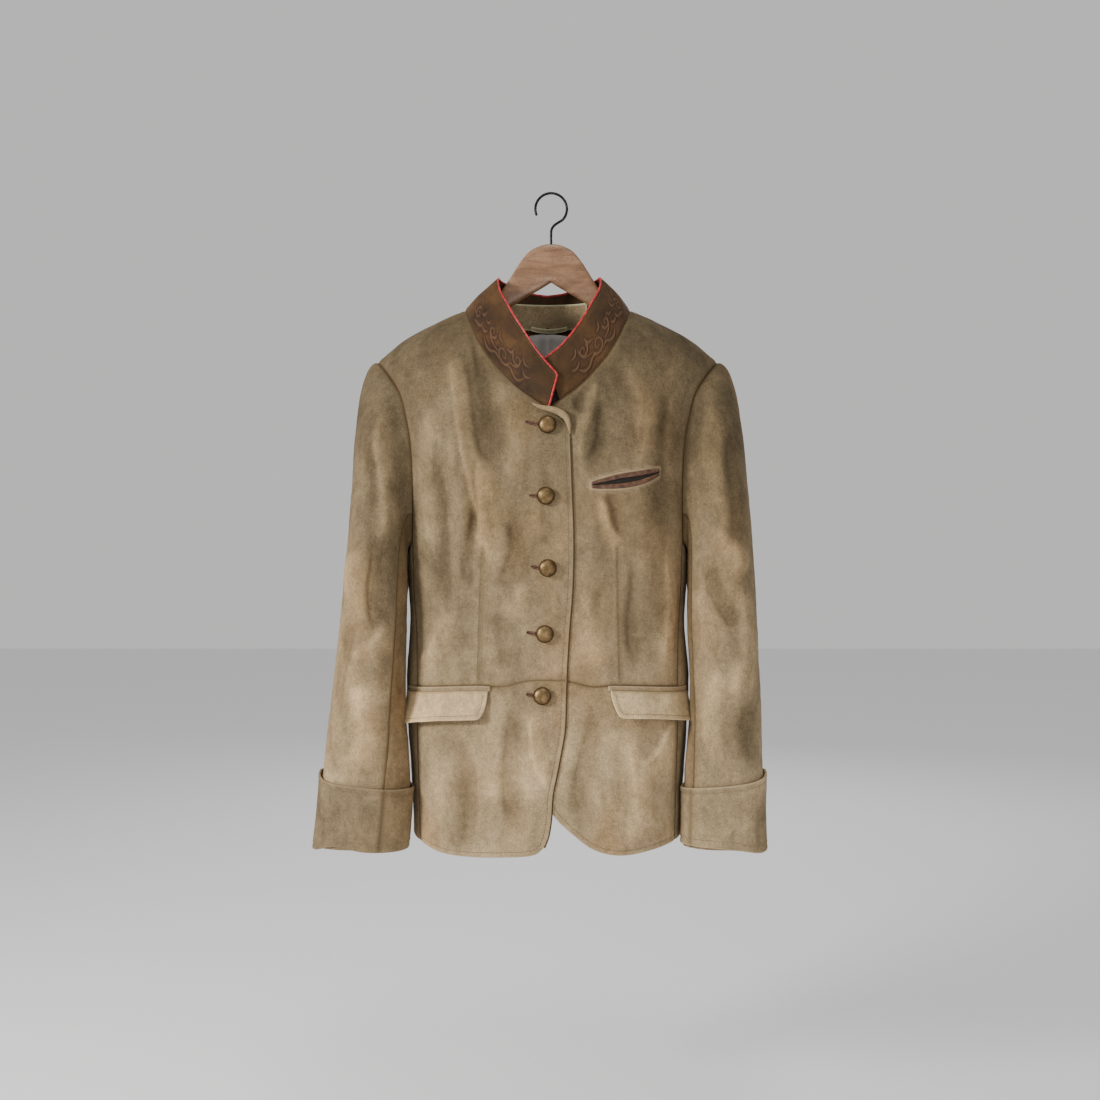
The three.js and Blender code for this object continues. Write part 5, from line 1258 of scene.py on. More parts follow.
# %% A round bar along a line
def round_bar(line, radius, corners=10, caps=True, flat=1.0, up=None):
    """Points and quads. radius may differ along the line; flat squeezes the bar towards up."""
    line = np.asarray(line, float)
    ahead = unit(np.gradient(line, axis=0))
    if up is None:
        sideways = np.cross(ahead[0], [0, 0, 1.0]) if abs(ahead[0, 2]) < 0.9 else np.cross(ahead[0], [0, 1.0, 0])
        frame_up = [np.cross(unit(sideways), ahead[0])]
        for direction in ahead[1:]:
            frame_up.append(unit(frame_up[-1] - direction * (frame_up[-1] @ direction)))
        frame_up = np.array(frame_up)
    else:
        frame_up = unit(up - ahead * (up * ahead).sum(1)[:, None])
    side = np.cross(ahead, frame_up)
    radius = np.broadcast_to(radius, len(line)).astype(float)
    if caps:
        line = np.concatenate([line[:1] - ahead[:1] * radius[0] * 0.5, line, line[-1:] + ahead[-1:] * radius[-1] * 0.5])
        side, frame_up = (np.concatenate([v[:1], v, v[-1:]]) for v in (side, frame_up))
        radius = np.concatenate([radius[:1] * 0.6, radius, radius[-1:] * 0.6])
    angle = np.arange(corners) * 2 * np.pi / corners
    points = (line[:, None] + side[:, None] * (radius[:, None] * np.cos(angle))[..., None]
              + frame_up[:, None] * (radius[:, None] * np.sin(angle) * flat)[..., None])
    ends = [end_quads(0, corners, flip=True), end_quads((len(line) - 1) * corners, corners)]
    return points.reshape(-1, 3), np.concatenate([tube_quads(len(line), corners), *ends])

# %% Piping on the collar's edge
PIPING_RADIUS = 1.3
rim_middle = grid - collar_normals * COLLAR_WALL / 2
edge_up = unit(grid[:, -1] - grid[:, -3]) * 1.1
front_away = unit(grid[0] - grid[3]) * 1.1
front_line = (rim_middle[0] + front_away)[::2][1:-1]
corner = rim_middle[0, -1] + unit(edge_up[0] + front_away[-1]) * 1.3
piping_line = np.concatenate([front_line, corner[None], (rim_middle[:, -1] + edge_up)[2::2]])
piping_line = drawn(piping_line[::2], 420)
piping = bars("red_piping", [round_bar(piping_line, PIPING_RADIUS, 12)], piping_finish)
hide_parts("collar_piping")
print("piping:", round(float(lengths(piping_line)[-1])), "mm")

# %% [markdown]
# ## Inside the neck
# Behind the hanger's wood the back of the neck is faced with a strip of the same suede, a loop of suede
# hangs there for a peg, and below it starts the grey satin lining with its pleat, which lets the back
# move. They are thin sheets hung from the neck seam.

# %% Facing, satin and the pleat
# painted light: the facing takes a much lighter copy of the suede, which also offsets the painted shade towards the top
facing_suede = suede_finish("suede_facing", tone=1.62, warmth=-4, seed=3.1)
satin, satin_shader = new_finish("satin_grey", 0.42, Sheen_Weight=0.25, Specular_IOR_Level=0.45, Anisotropic=0.5)
place = node(satin, "TexCoord").outputs["Object"]
weave = node(satin, "TexWave", [(place, "Vector")], wave_type="BANDS", bands_direction="Z", Scale=420.0, Distortion=0.6)
shade = node(satin, "TexNoise", [(place, "Vector")], Scale=34.0, Detail=3.0)
colour = ramp(satin, shade.outputs["Fac"], [(0.32, linear(190, 184, 177)), (0.68, linear(238, 231, 224))])
satin.node_tree.links.new(mixed(satin, 0.12, colour, weave.outputs["Color"]), satin_shader.inputs["Base Color"])
bumped(satin, satin_shader, weave.outputs["Fac"], 0.15, 0.0002)


def neck_depth(x, drop, inset):
    """The inner face of the collar and of the back at any place behind the neck."""
    low = np.maximum(drop, 162.4)
    back = on_body(angle_of(np.where(np.abs(x) < 0.01, 0.01, x), low, True), low)[..., 1]
    share = np.clip((162.4 - drop) / (162.4 - 116), 0, 1)
    top = np.array(COLLAR_TOP[RIGHT][:4], float)
    collar_at = through(top[:, 0], top[:, 1])(np.minimum(np.abs(x), 50))
    return back + (collar_at - back) * share - inset


def hung_sheet(name, points, wall, finish, node_name, flat):
    outer, inner, masks, _ = grid_skin(points, ("free",) * 4, None, wall, crease=0.4,
                                       edge_shape=lambda seam, free: 0.3 * np.exp(-((free / 0.5) ** 2)))
    piece = grid_piece(name, outer, inner, masks, finish)
    area = grid_area(outer)
    declare_cloth(piece, node_name, area, flat)
    print(name, round(area * 1e4, 1), "cm2")


u, v = np.meshgrid(np.linspace(-1, 1, 60), np.linspace(0, 1, 24), indexing="ij")
x, drop = 49 * u, 126 + (158 - 5 * u * u - 126) * v
facing_points = np.stack([x, neck_depth(x, drop, COLLAR_WALL + 0.6), -drop], axis=-1)
hung_sheet("suede_neck_facing", facing_points, 1.2, facing_suede, "back_neck_facing", (0.1, 0.034))

u, v = np.meshgrid(np.linspace(-1, 1, 101), np.linspace(0, 1, 80), indexing="ij")
x = 145 * u
drop = 160 + 82 * u * u + (726 - 160 - 82 * u * u) * v
angle = angle_of(np.where(np.abs(x) < 0.01, 0.01, x), drop, True)
points = on_body(angle, drop)
inward = grid_normals(points)
inward *= np.sign((inward[50, 40] * [0, -1, 0]).sum())
fold = (5 * np.exp(-((x / 5.0) ** 2)) * (1 - 0.7 * v) + 0.9 * np.sin(x / 9 + 3 * v) * smooth_step(np.abs(x) / 12)
        + 0.7 * wandering(points, 55, 21))
points = points + inward * (5.6 + fold)[..., None]
hung_sheet("satin_lining", points, 0.9, satin, "back_lining", (0.36, 0.58))

u, v = np.meshgrid(np.linspace(0, 1, 60), np.linspace(0, 1, 10), indexing="ij")
x = -22 + 44 * u
drop = 152.5 + 3.5 * (1 - (x / 22) ** 2) + 5 * v
behind = COLLAR_WALL + 0.4 + 1.2 + 0.9 + 2.4 * np.sin(np.pi * u) + 0.5 * np.sin(np.pi * v)
loop_points = np.stack([x + 2, neck_depth(x, drop, behind), -drop], axis=-1)
hung_sheet("suede_loop", loop_points, 1.2, facing_suede, "hanging_loop", (0.046, 0.01))

# %% [markdown]
# ## Pocket flaps and welts
# A flap is two layers of suede, turned and stitched 5 mm inside its edges, hanging from a narrow welt in
# the waist seam. It stands off the skirt by its own thickness and a little more at its lower edge, and
# that gap gives the dark line under it.

# %% Flaps
FLAP_EDGE = {RIGHT: [(66.8, 587.5), (67.6, 597), (69.6, 607), (73, 615.5), (77.5, 619), (84, 619.6)],
             LEFT: [(71, 587.5), (72.5, 597), (75.5, 607), (79, 614.5), (83.5, 617.5), (90, 618.2)]}
FLAP_HEM = {RIGHT: [(84, 619.6), (100, 620.5), (122, 622), (146, 626), (161, 629.5)],
            LEFT: [(90, 618.2), (105, 618.8), (122, 619.8), (146, 623), (161, 626)]}


def double_edge(seam, free):
    return rounded(free, 1.1, 1.3) + 0.4 * np.exp(-(((free - 5) / 0.8) ** 2)) + 0.5 * np.exp(-((seam / 1.5) ** 2))


def over_side(points, places):
    """The flap's front corner and hem curl away from the skirt."""
    v = np.clip((-points[:, 2] - 588) / 32, 0, 1.2)
    return 3.9 + 8.0 * v * v


def all_free(side, *lines):
    """A round of turned edges only."""
    return [("free", placed(np.asarray(line), side)) for line in lines]


flaps = {}
for side, word in ((RIGHT, "right"), (LEFT, "left")):
    top_out = np.linspace(161, FLAP_EDGE[side][0][0], 60)
    top = np.stack([top_out, waist_drop(top_out) + 5.6], axis=1)
    front, hem = drawn(FLAP_EDGE[side], 60), drawn(FLAP_HEM[side], 60)
    front[0] = top[-1]
    rear = np.stack([np.full(20, 161.0), np.linspace(hem[-1, 1], top[0, 1], 20)], axis=1)
    round_ = [("seam", placed(top, side))] + all_free(side, front, hem, rear)
    piece, area, flaps[side] = panel(f"suede_flap_{word}", round_, body_cloth, None, cell=1.7, thick=2.4,
                                     lift=over_side, finish=suede_flap, edge_shape=double_edge)
    declare_cloth(piece, f"flap_{word}", area, (0.105, 0.042))
    over = FLAP_EDGE[side][0][0] - 2.5
    out = np.linspace(161, over, 60)
    upper = np.stack([out, waist_drop(out) + 0.2], axis=1)
    lower = np.stack([out[::-1], waist_drop(out[::-1]) + 5.9], axis=1)
    round_ = all_free(side, upper, [upper[-1], lower[0]], lower, [lower[-1], upper[0]])
    piece, area, _ = panel(f"suede_welt_{word}", round_, body_cloth, None, cell=1.1, thick=1.6,
                           lift=lambda points, places: 2.5, finish=suede,
                           edge_shape=lambda seam, free: rounded(free, 1.1, 1.8))
    declare_cloth(piece, f"flap_welt_{word}", area, (0.105, 0.013))

# %% [markdown]
# ## The breast pocket and the buttonholes
# The slanted breast pocket is edged with two narrow strips of brown leather that spread like lips round a
# dark slit. The buttonholes are edged in the same leather, 21 mm long with a rounded eye at the button.

# %% Jet leather and the dark inside of a slit
jet_leather = speckled("jet_leather", 0.5, 160.0, 4.0, [
    (0.33, linear(58, 36, 24)), (0.5, linear(84, 55, 37)), (0.7, linear(112, 78, 54))],
    (0.4, 0.0004), spread=0.6, Specular_IOR_Level=0.4)
# painted shade: the slits of the breast pocket and the buttonholes are dark strips standing for the shade inside the
# openings
slit_dark = speckled("slit_shade", 0.95, 200.0, 2.0, [(0.3, linear(16, 11, 9)), (0.7, linear(34, 25, 19))])

# %% The breast pocket
def lip(edge, other):
    """The inner side of a strip from an outer edge of the pocket towards its slit."""
    opened = np.sin(np.pi * np.linspace(0, 1, len(edge))) ** 0.7
    return edge + (other - edge) * (0.46 - 0.13 * opened)[:, None]


def strip(name, first, second, finish, lift, thick, cell, node_name=None):
    round_ = all_free(LEFT, first, [first[-1], second[-1]], second[::-1], [second[0], first[0]])
    piece, area, _ = panel(name, round_, body_cloth, None, cell=cell, thick=thick, lift=lambda points, places: lift,
                           finish=finish,
                           edge_shape=lambda seam, free: rounded(free, thick * 0.6, 1.5))
    if node_name:
        declare_cloth(piece, node_name, area, (0.08, 0.01))


upper_lip, lower_lip = lip(POCKET_TOP, POCKET_FOOT), lip(POCKET_FOOT, POCKET_TOP)
strip("jet_upper", POCKET_TOP, upper_lip, jet_leather, 2.0, 1.4, 1.2, "pocket_jet_upper")
strip("jet_lower", lower_lip, POCKET_FOOT, jet_leather, 2.0, 1.4, 1.2, "pocket_jet_lower")
strip("pocket_slit", upper_lip - [0, 0.7], lower_lip + [0, 0.7], slit_dark, 0.75, 0.5, 1.5)

# %% Buttonholes
BUTTONS = [(0, 287), (-1.7, 367.3), (0.6, 448.3), (-2.8, 522.8), (-5.6, 592)]
HOLE_ENDS = [(-23.7, 283.6), (-19.5, 366.5), (-17.9, 446.4), (-22.5, 521), (-22.9, 590.2)]


def on_front(x, drop, lift):
    """A place on the right front's outer face, with its normal."""
    x, drop = np.asarray(x, float), np.asarray(drop, float)
    angle = angle_of(x, drop)
    points, normals = body_cloth(angle, unrolled(angle, drop))
    stand = lap(RIGHT)(points, None) + creased(points, normals, "body") * 0.9
    return points + normals * (stand + lift)[..., None], normals


lips, darks = [], []
for (bx, bd), (hx, hd) in zip(BUTTONS, HOLE_ENDS):
    t = np.linspace(0, 1, 26)
    x, drop = hx + (bx - 4.5 - hx) * t, hd + (bd + 1 - hd) * t
    spread = 1.15 + 1.6 * np.exp(-(((t - 1) / 0.22) ** 2))
    for way in (-1, 1):
        line, normals = on_front(x, drop + way * spread, 0.15)
        lips.append(round_bar(line, 1.1 * np.minimum(1, 0.6 + 2 * t), 8, up=normals))
    end_angle = np.linspace(-0.5, 0.5, 9) * np.pi
    line, normals = on_front(hx - 0.6 * np.cos(end_angle), hd + 1.0 * np.sin(end_angle), 0.1)
    lips.append(round_bar(line, 0.7, 8, up=normals))
    line, normals = on_front(x, drop, -0.02)
    darks.append(round_bar(line, spread * 0.9, 8, flat=0.3, up=normals))
bars("buttonhole_lips", lips, jet_leather)
bars("buttonhole_slits", darks, slit_dark)
print("buttonholes:", len(BUTTONS))

# %% [markdown]
# ## Buttons, hook and wood
# The buttons are domed caps of aged bronze on a shank. Turning a profile on a lathe gives them, with a
# small flat rim. The finish is metal, darker where it is brown with age, polished on the crown.

# %% Bronze
bronze, bronze_shader = new_finish("bronze_aged", 0.36, Metallic=1.0)
place = node(bronze, "TexCoord").outputs["Object"]
cloud = node(bronze, "TexNoise", [(place, "Vector")], Scale=150.0, Detail=5.0, Roughness=0.65)
fine = node(bronze, "TexNoise", [(place, "Vector")], Scale=900.0, Detail=3.0, Roughness=0.6)
colour = ramp(bronze, cloud.outputs["Fac"], [(0.3, linear(82, 64, 42)), (0.5, linear(118, 96, 66)),
                                             (0.72, linear(150, 126, 90))])
colour = mixed(bronze, mask(bronze, "edge"), colour, linear(62, 49, 33))
bronze.node_tree.links.new(colour, bronze_shader.inputs["Base Color"])
rub = ramp(bronze, cloud.outputs["Fac"], [(0.3, (0.55, 0.55, 0.55, 1)), (0.7, (0.42, 0.42, 0.42, 1))])
bronze.node_tree.links.new(rub, bronze_shader.inputs["Roughness"])
bumped(bronze, bronze_shader, fine.outputs["Fac"], 0.12, 0.0003)


# %% A turned button
def turned(profile, count=48):
    """Vertices and quads of a profile of (distance out, height, shade) turned about its axis."""
    profile = np.asarray(profile, float)
    angle = np.arange(count) * 2 * np.pi / count
    ring_points = np.stack([profile[:, None, 0] * np.cos(angle), profile[:, None, 0] * np.sin(angle),
                            profile[:, None, 1] + 0 * angle], axis=-1)
    return ring_points.reshape(-1, 3), tube_quads(len(profile), count), np.repeat(profile[:, 2], count)


crown = [(9.6 * np.sin(a), 4.0 + 4.9 * np.cos(a), 0.55 * np.sin(a) ** 6) for a in np.linspace(0.004, np.pi / 2, 20)]
profile = crown + [(9.9, 3.7, 0.9), (10.0, 3.3, 0.8), (9.8, 2.9, 0.7), (9.0, 2.7, 0.9), (3.4, 2.6, 1.0),
                   (2.6, 2.0, 1.0), (2.6, -0.4, 1.0), (0.01, -0.5, 1.0)]
for number, (bx, bd) in enumerate(BUTTONS, 1):
    place, normal = on_front([bx], [bd], 0.0)
    axis = unit(normal[0] * [0.55, 1, 0.55])
    sideways = unit(np.cross([0, 0, 1.0], axis))
    basis = np.stack([sideways, np.cross(axis, sideways), axis])
    points, quads, shade = turned(profile)
    button = as_object(f"button_domed_{number}", in_row(place[0] + points @ basis), [quads], bronze,
                       {"edge": shade})
    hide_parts(f"button_{number}")
print("buttons are", 2 * max(out for out, _, _ in profile), "mm across")

# %% Beech and the wood's shape
beech, beech_shader = new_finish("beech_varnished", 0.42, Coat_Weight=0.25, Coat_Roughness=0.25, Specular_IOR_Level=0.4)
place = node(beech, "TexCoord").outputs["Object"]
long_grain = node(beech, "Mapping", [(place, "Vector")], Scale=(1.0, 2.2, 5.0), Rotation=(0, 0.35, 0)).outputs["Vector"]
rings = node(beech, "TexNoise", [(long_grain, "Vector")], Scale=22.0, Detail=5.0, Roughness=0.6, Distortion=0.8)
pores = node(beech, "Mapping", [(place, "Vector")], Scale=(1.0, 3.0, 7.0)).outputs["Vector"]
fleck = node(beech, "TexNoise", [(pores, "Vector")], Scale=330.0, Detail=2.0, Roughness=0.5)
colour = ramp(beech, rings.outputs["Fac"], [(0.3, linear(108, 77, 53)), (0.5, linear(130, 97, 71)),
                                            (0.7, linear(152, 119, 91))])
flecks = ramp(beech, fleck.outputs["Fac"], [(0.38, (0.66, 0.58, 0.52, 1)), (0.47, (1, 1, 1, 1))])
colour = mixed(beech, 1.0, colour, flecks, "MULTIPLY")
colour = mixed(beech, mask(beech, "joint"), colour, linear(120, 84, 62))
beech.node_tree.links.new(colour, beech_shader.inputs["Base Color"])
bumped(beech, beech_shader, fleck.outputs["Fac"], 0.12, 0.0002)
black_wire = speckled("wire_black", 0.38, 300.0, 3.0, [(0.35, linear(24, 24, 26)), (0.7, linear(52, 52, 55))],
                      Metallic=0.9)

HANGER = np.array([  # out, top, bottom, thickness
    (0, 60, 106, 12), (8, 60.6, 111, 12), (17, 63.5, 116.3, 12), (27, 69.5, 122, 12.5), (38, 83, 128.8, 13.5),
    (50, 102, 137, 15), (64, 122, 148, 15.5), (85, 144, 164, 15), (110, 151, 179, 15), (140, 165.5, 193, 15),
    (165, 179.5, 205, 14), (183, 193, 212, 10)])
wood_top, wood_bottom, wood_thick = (through(HANGER[:, 0], HANGER[:, k]) for k in (1, 2, 3))
WOOD_REACH = 183
half_wood = np.linspace(0, 1, 90) * WOOD_REACH
across = np.sort(np.concatenate([-half_wood[::-1], half_wood[1:], [0.4, 0.9, 1.4, 1.6]]))
sections, joint = [], []
around = np.linspace(0, 2 * np.pi, 36, endpoint=False)
for out in across:
    top, low, thick = wood_top(abs(out)), wood_bottom(abs(out)), wood_thick(abs(out))
    if abs(out) > 75:
        # the wood lies under the suede of the shoulder
        top = max(top, float(shoulder_drop(abs(out + 4.4))) + 2.4)
    end = math.sqrt(max(1 - (abs(out) / WOOD_REACH) ** 24, 0.02))
    half, deep = (low - top) / 2 * end, thick / 2 * end
    c, s = np.cos(around), np.sin(around)
    r = (np.abs(c) ** 3.2 + np.abs(s) ** 3.2) ** (-1 / 3.2)
    sections.append(np.stack([np.full(36, out), deep * c * r, -(top + low) / 2 + half * s * r], axis=1))
    joint.append(np.full(36, 0.9 * math.exp(-(((out - 1.4) / 0.45) ** 2))))
wood_grid = np.array(sections)
quads = tube_quads(len(across), 36)[:, [0, 3, 2, 1]]
ends = np.concatenate([end_quads(0, 36), end_quads((len(across) - 1) * 36, 36, flip=True)])
wood = as_object("beech_hanger", in_row(wood_grid.reshape(-1, 3), [0, 0, 0]), [quads, ends], beech,
                 {"joint": np.concatenate(joint)})
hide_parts("hanger_wood")
bend = [(19 * np.cos(np.radians(a)), 0, 19 * np.sin(np.radians(a)) - 17.4) for a in range(-50, 206, 6)]
wire_line = drawn([(0, 0, -59), (0, 0, -54), (0, 0, -48), (0.6, 0, -42), (4.0, 0, -37)] + bend[1:], 160)
vertices, quads = round_bar(wire_line, 1.6, 14)
wire = as_object("wire_hook", in_row(vertices, [0, 0, 0]), [quads], black_wire)
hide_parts("hook")
print("hanger", 2 * WOOD_REACH, "mm wide")

# %% [markdown]
# ## Seam allowances
# Behind every seam lie the two turned-back edges of the suede. They keep the seam from gaping and give it
# its soft dark bottom. A round bar a little below the surface does for both; its dark colour, the darker
# copy of the suede darkened further by the edge mask, is painted shade at the bottom of the seam.

# %% Bars behind the seams
def on_form(marks):
    return body_cloth(marks[:, 0], marks[:, 1])


BAR, BAR_DEPTH = 1.5, 2.1  # its radius and how deep its middle lies
allowance = []
for side in (RIGHT, LEFT):
    out = np.linspace(NECK_POINT[0], SHOULDER_POINT[0], 60)
    seams = [placed(drawn(FRONT_ARMHOLE, 90), side), placed(drawn(BACK_ARMHOLE, 90), side, True),
             placed(down_seam(FRONT_SIDE_SEAM, UNDERARM, SIDE_HEM - 4, 120), side),
             placed(down_seam(BACK_SIDE_SEAM, UNDERARM, 750, 120), side, True),
             placed(across_seam(-20 if side == LEFT else -18, 151.5, 90), side),
             placed(np.stack([out, shoulder_drop(out)], axis=1), side),
             placed(drawn(BACK_NECK, 60), side, True), placed(drawn(FRONT_NECK, 90)[:78], side)]
    t = np.linspace(0, 1, 30)
    front, back = seams[0][-1], seams[1][-1]
    seams.append(np.stack([front[0] + (back[0] - front[0]) * t,
                           UNDERARM + UNDERARM_DIP * np.sin(np.pi * t) ** 0.8], axis=1))
    for marks in seams:
        line, normals = on_form(marks)
        under = BAR_DEPTH - np.minimum(lap(side)(line, None), 0)
        allowance.append(round_bar(line - normals * np.broadcast_to(under, len(line))[:, None], BAR, 8))
    for turn in ring[side][2:]:
        line = sleeve_line(side, np.array([turn, turn + 0.5]), head_shares, arm_drops)
        normals = grid_normals(line)[0] * (-1 if side == RIGHT else 1)
        allowance.append(round_bar((line[0] - normals * BAR_DEPTH)[3:-2], BAR, 8))
centre = np.stack([np.full(90, np.pi), np.linspace(165, 748, 90)], axis=1)
line, normals = on_form(centre)
allowance.append(round_bar(line - normals * BAR_DEPTH, BAR, 8))
# the lap of the right front ends in a fold, and the groove beside it is in shade: a thin dark bar sunk there is a
# painted shadow line
groove = drawn(FRONT_EDGE[RIGHT], 300)
outwards = unit(np.gradient(groove, axis=0))
groove = groove + np.stack([-outwards[:, 1], outwards[:, 0]], axis=1) * 0.8
line, normals = on_form(placed(groove[10:], RIGHT))
allowance.append(round_bar(line - normals * 0.25, 0.75, 8))
# painted shade: all these bars are darkened, the lap's groove bar the most
shade = np.concatenate([np.full(len(points), 0.55) for points, _ in allowance])
shade[-len(allowance[-1][0]):] = 1  # the groove's bar is the darkest
bars("seam_allowances", allowance, suede_under, {"edge": shade, "rim": 0})
print("seams backed:", len(allowance))

# %% [markdown]
# ## Stitches in place
# Rows of stitches follow the turned edges 5 to 6 mm inside them, and pairs of rows hold the darts open.
# Each row is drawn as marks like the edges themselves, then lifted to the creased cloth.

# %% Lifting marks to the finished cloth
trees = {}


def lifted(name, points, normals):
    """Moves points of the smooth form to the outer face of a finished panel."""
    smooth, _, outer = cloth[name]
    if name not in trees:
        tree = KDTree(len(smooth))
        for number, place in enumerate(smooth):
            tree.insert(place, number)
        tree.balance()
        trees[name] = tree
    result = []
    for point in points:
        near = trees[name].find_n(point, 4)
        weights = np.array([1 / (gap + 0.2) for _, _, gap in near])
        moves = np.array([outer[number] - smooth[number] for _, number, _ in near])
        result.append(point + (weights[:, None] * moves).sum(0) / weights.sum())
    return np.array(result)


def stitch_row(name, marks, side, behind=False, **kind):
    spots = placed(marks, side, behind)
    points, normals = body_cloth(spots[:, 0], spots[:, 1])
    return sewn(lifted(name, points, normals), normals, **kind)


def inset(marks, by):
    """A line beside a line of marks, by that many millimetres to its left as it runs."""
    ahead = unit(np.gradient(marks, axis=0))
    return marks + np.stack([-ahead[:, 1], ahead[:, 0]], axis=1) * by


cloth["flap_right"], cloth["flap_left"] = flaps[RIGHT], flaps[LEFT]
TURNED = 5.5  # from an edge to its row of stitches
FINE = {"pitch": 2.8, "length": 2.0}
rows = []
for side, word in ((RIGHT, "right"), (LEFT, "left")):
    waist_end = float(waist_drop(-21.5))
    edge = inset(down_seam(FRONT_EDGE[side], 291, waist_end, 200), -TURNED)
    rows.append(stitch_row(f"front_{word}_upper", edge[:-1], side, thick=0.4))
    lower = np.concatenate([down_seam(FRONT_EDGE[side], waist_end + 2, FRONT_EDGE[side][-1][1], 160)[:-1],
                            drawn(HEM[side], 200)])
    rows.append(stitch_row(f"front_{word}_skirt", inset(lower, -TURNED)[:-4], side, thick=0.4))
    # the flap's front edge and hem
    flap_line = np.concatenate([drawn(FLAP_EDGE[side], 60)[4:-1], drawn(FLAP_HEM[side], 80)])
    rows.append(stitch_row(f"flap_{word}", inset(flap_line, -5)[2:-3], side, thick=0.38, **FINE))
    # the back's hem
    out = np.linspace(146, 2, 160)
    rows.append(stitch_row(f"back_{word}", np.stack([out, 754 - 2 * (1 - out / 146) - TURNED], axis=1), side, True))
stitches = bars("stitches_edges", rows, thread_finish)
print("stitches along the edges:", len(stitches.data.vertices) // len(STITCH))

# %% Pairs of rows along the darts and the side seams
rows = []
for side, word in ((RIGHT, "right"), (LEFT, "left")):
    dart = DARTS[side]
    rows += [stitch_row(f"front_{word}_upper", inset(dart, by)[4:-3], side, thick=0.36, **FINE)
             for by in (-2.3, 2.3)]
    seam = down_seam(FRONT_SIDE_SEAM, 440, side_waist - 6, 140)
    rows.append(stitch_row(f"front_{word}_upper", inset(seam, 3.0), side, thick=0.36, **FINE))
bars("stitches_darts", rows, thread_finish)

# %% Round the breast pocket, the cuffs and the collar
rows = []
above, below_it = inset(POCKET_TOP, -3.0), inset(POCKET_FOOT, 3.0)[::-1]
frame_marks = np.concatenate([above, above[-1:] + [3.2, 2.2], POCKET_FOOT[-1:] + [3.2, 1.0], below_it,
                              POCKET_FOOT[:1] + [-3.2, 1.6], POCKET_TOP[:1] + [-3.2, -1.4], above[:1]])
rows.append(stitch_row("front_left_upper", drawn(frame_marks, 300), LEFT, pitch=2.6, length=1.9, thick=0.36))
for side in (RIGHT, LEFT):
    outer, normals, below = sleeves[side, "cuff"]
    column = np.arange(len(outer))
    row = np.array([np.interp(6.0, below[c], np.arange(below.shape[1])) for c in column])
    low = row.astype(int)
    share = (row - low)[:, None]
    line = outer[column, low] * (1 - share) + outer[column, low + 1] * share
    rows.append(sewn(np.concatenate([line, line[:1]]), np.concatenate([normals[column, low], normals[:1, low[0]]])))
    row = np.array([np.interp(below[c, -1] - 7, below[c], np.arange(below.shape[1])) for c in column])
    low = row.astype(int)
    rows.append(sewn(outer[column, low], normals[column, low]))
bars("stitches_pocket_cuffs", rows, thread_finish)
brown_thread = speckled("thread_brown", 0.7, 1500.0, 2.0, [(0.35, linear(58, 36, 24)), (0.65, linear(96, 64, 44))])
height_mm = np.linalg.norm(collar_outer[:, -1] - collar_outer[:, 0], axis=1)
row = np.clip((1 - 2.9 / height_mm) * 50, 0, 49) + 3
low = row.astype(int)
column = np.arange(len(collar_outer))
line, line_normals = collar_outer[column, low], collar_normals[column, low]
bars("stitches_collar", [sewn(line[4:-4], line_normals[4:-4], pitch=2.6, length=1.9, thick=0.26)], brown_thread)
print("stitches in all rows made")

# %% [markdown]
# ## The rolled corner
# Above the first button the corner of the right front has rolled outwards, as soft suede does beside a
# buttonhole, and shows its greenish facing. The roll takes the lighter copy of the suede and a raised fold
# value, as painted light. Under it, where the collar's ends part, a dark sheet behind the cloth is painted
# shade for the hollow there.

# %% The roll
ROLL = [(-17, 262.5), (-9, 266.5), (2.0, 269.2), (9, 271.2), (15, 274), (20.5, 278.5), (23.2, 284), (24.6, 290),
        (25.8, 297)]
roll = drawn(ROLL, 70)
line, normals = on_front(roll[:, 0], roll[:, 1], 1.2)
swell = np.interp(np.linspace(0, 1, 70), [0, 0.15, 0.4, 0.62, 0.8, 1], [0.9, 2.2, 3.7, 4.2, 2.8, 0.7])
curl = round_bar(line + normals * (swell * 0.5)[:, None], swell, 18, flat=0.8, up=normals)
# painted light: the roll takes the lighter flap copy of the suede and a raised fold value
bars("suede_rolled_corner", [curl], suede_flap, {"edge": 0, "rim": 0, "worn": 0.62})
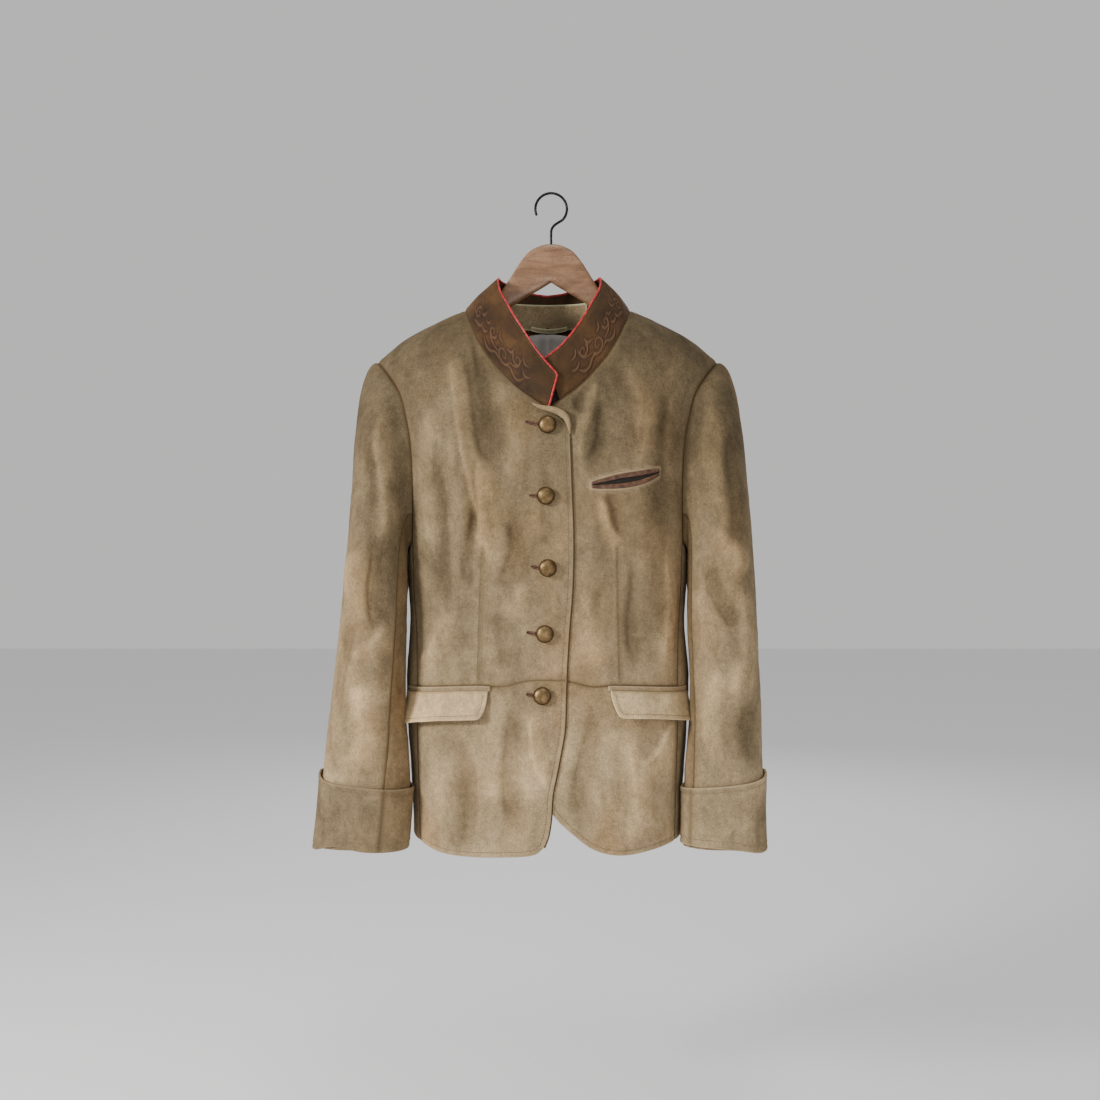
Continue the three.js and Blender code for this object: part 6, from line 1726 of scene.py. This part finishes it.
# painted shade: a dark sheet 5 mm behind the front stands for the shade in the hollow under the collar's ends
x, drop = np.meshgrid(np.linspace(-10, 24, 30), np.linspace(232, 276, 36), indexing="ij")
angle = angle_of(x, drop)
hollow, hollow_normals = body_cloth(angle, unrolled(angle, drop))
sheet = hollow - hollow_normals * 5.0
vertices, quads = grid_wall(sheet, sheet - hollow_normals * 0.8)
as_object("collar_under_end", in_row(vertices), quads, slit_dark)

# %% [markdown]
# ## Floor, light and camera
# A pale floor and soft lamps: the strongest stands to the left and a little above, a weaker one low in
# front, a small one at the top and one behind. The camera stands level with the middle of the jacket,
# 1.35 m in front of it.

# %% The studio
bpy.ops.mesh.primitive_plane_add(size=14, location=(0, 0, -1.16))
floor = bpy.context.object
floor.name = "floor"
floor_finish, floor_shader = new_finish("pale_floor", 0.9)
floor_shader.inputs["Base Color"].default_value = (0.82, 0.82, 0.83, 1)
floor.data.materials.append(floor_finish)

world = bpy.data.worlds.new("studio")
bpy.context.scene.world = world
world.use_nodes = True
world.node_tree.nodes["Background"].inputs["Color"].default_value = (0.9, 0.895, 0.89, 1)
world.node_tree.nodes["Background"].inputs["Strength"].default_value = 0.7


def lamp(name, place, aim, size, power, colour=(1, 1, 1)):
    light = bpy.data.lights.new(name, "AREA")
    light.energy, light.size, light.color = power, size, colour
    made = bpy.data.objects.new(name, light)
    bpy.context.scene.collection.objects.link(made)
    made.location = place
    made.rotation_euler = (Vector(aim) - Vector(place)).to_track_quat("-Z", "Y").to_euler()


lamp("key", (-1.45, -1.0, 0.1), (0, 0, -0.75), 0.35, 40, (1, 0.98, 0.95))
lamp("low", (0.5, -2.0, -0.9), (0, 0, -0.7), 0.8, 12, (1, 0.99, 0.97))
lamp("top", (0.1, -0.75, 1.6), (0, 0, -0.6), 0.4, 9, (1, 0.98, 0.95))
lamp("rear", (0.4, 2.2, 0.6), (0, 0, -0.4), 1.4, 16)

camera_data = bpy.data.cameras.new("camera")
camera_data.sensor_width, camera_data.lens = 36, 36.82
camera = bpy.data.objects.new("camera", camera_data)
bpy.context.scene.collection.objects.link(camera)
camera.location = (-0.0014, -1.3548, -0.428)
camera.rotation_euler = (math.radians(90), 0, 0)
bpy.context.scene.camera = camera

# %% [markdown]
# ## Sizes and the last line
# The flat size and the area of every piece of cloth are printed at the end.

# %% The cut sizes
print(json.dumps(cut_sizes))
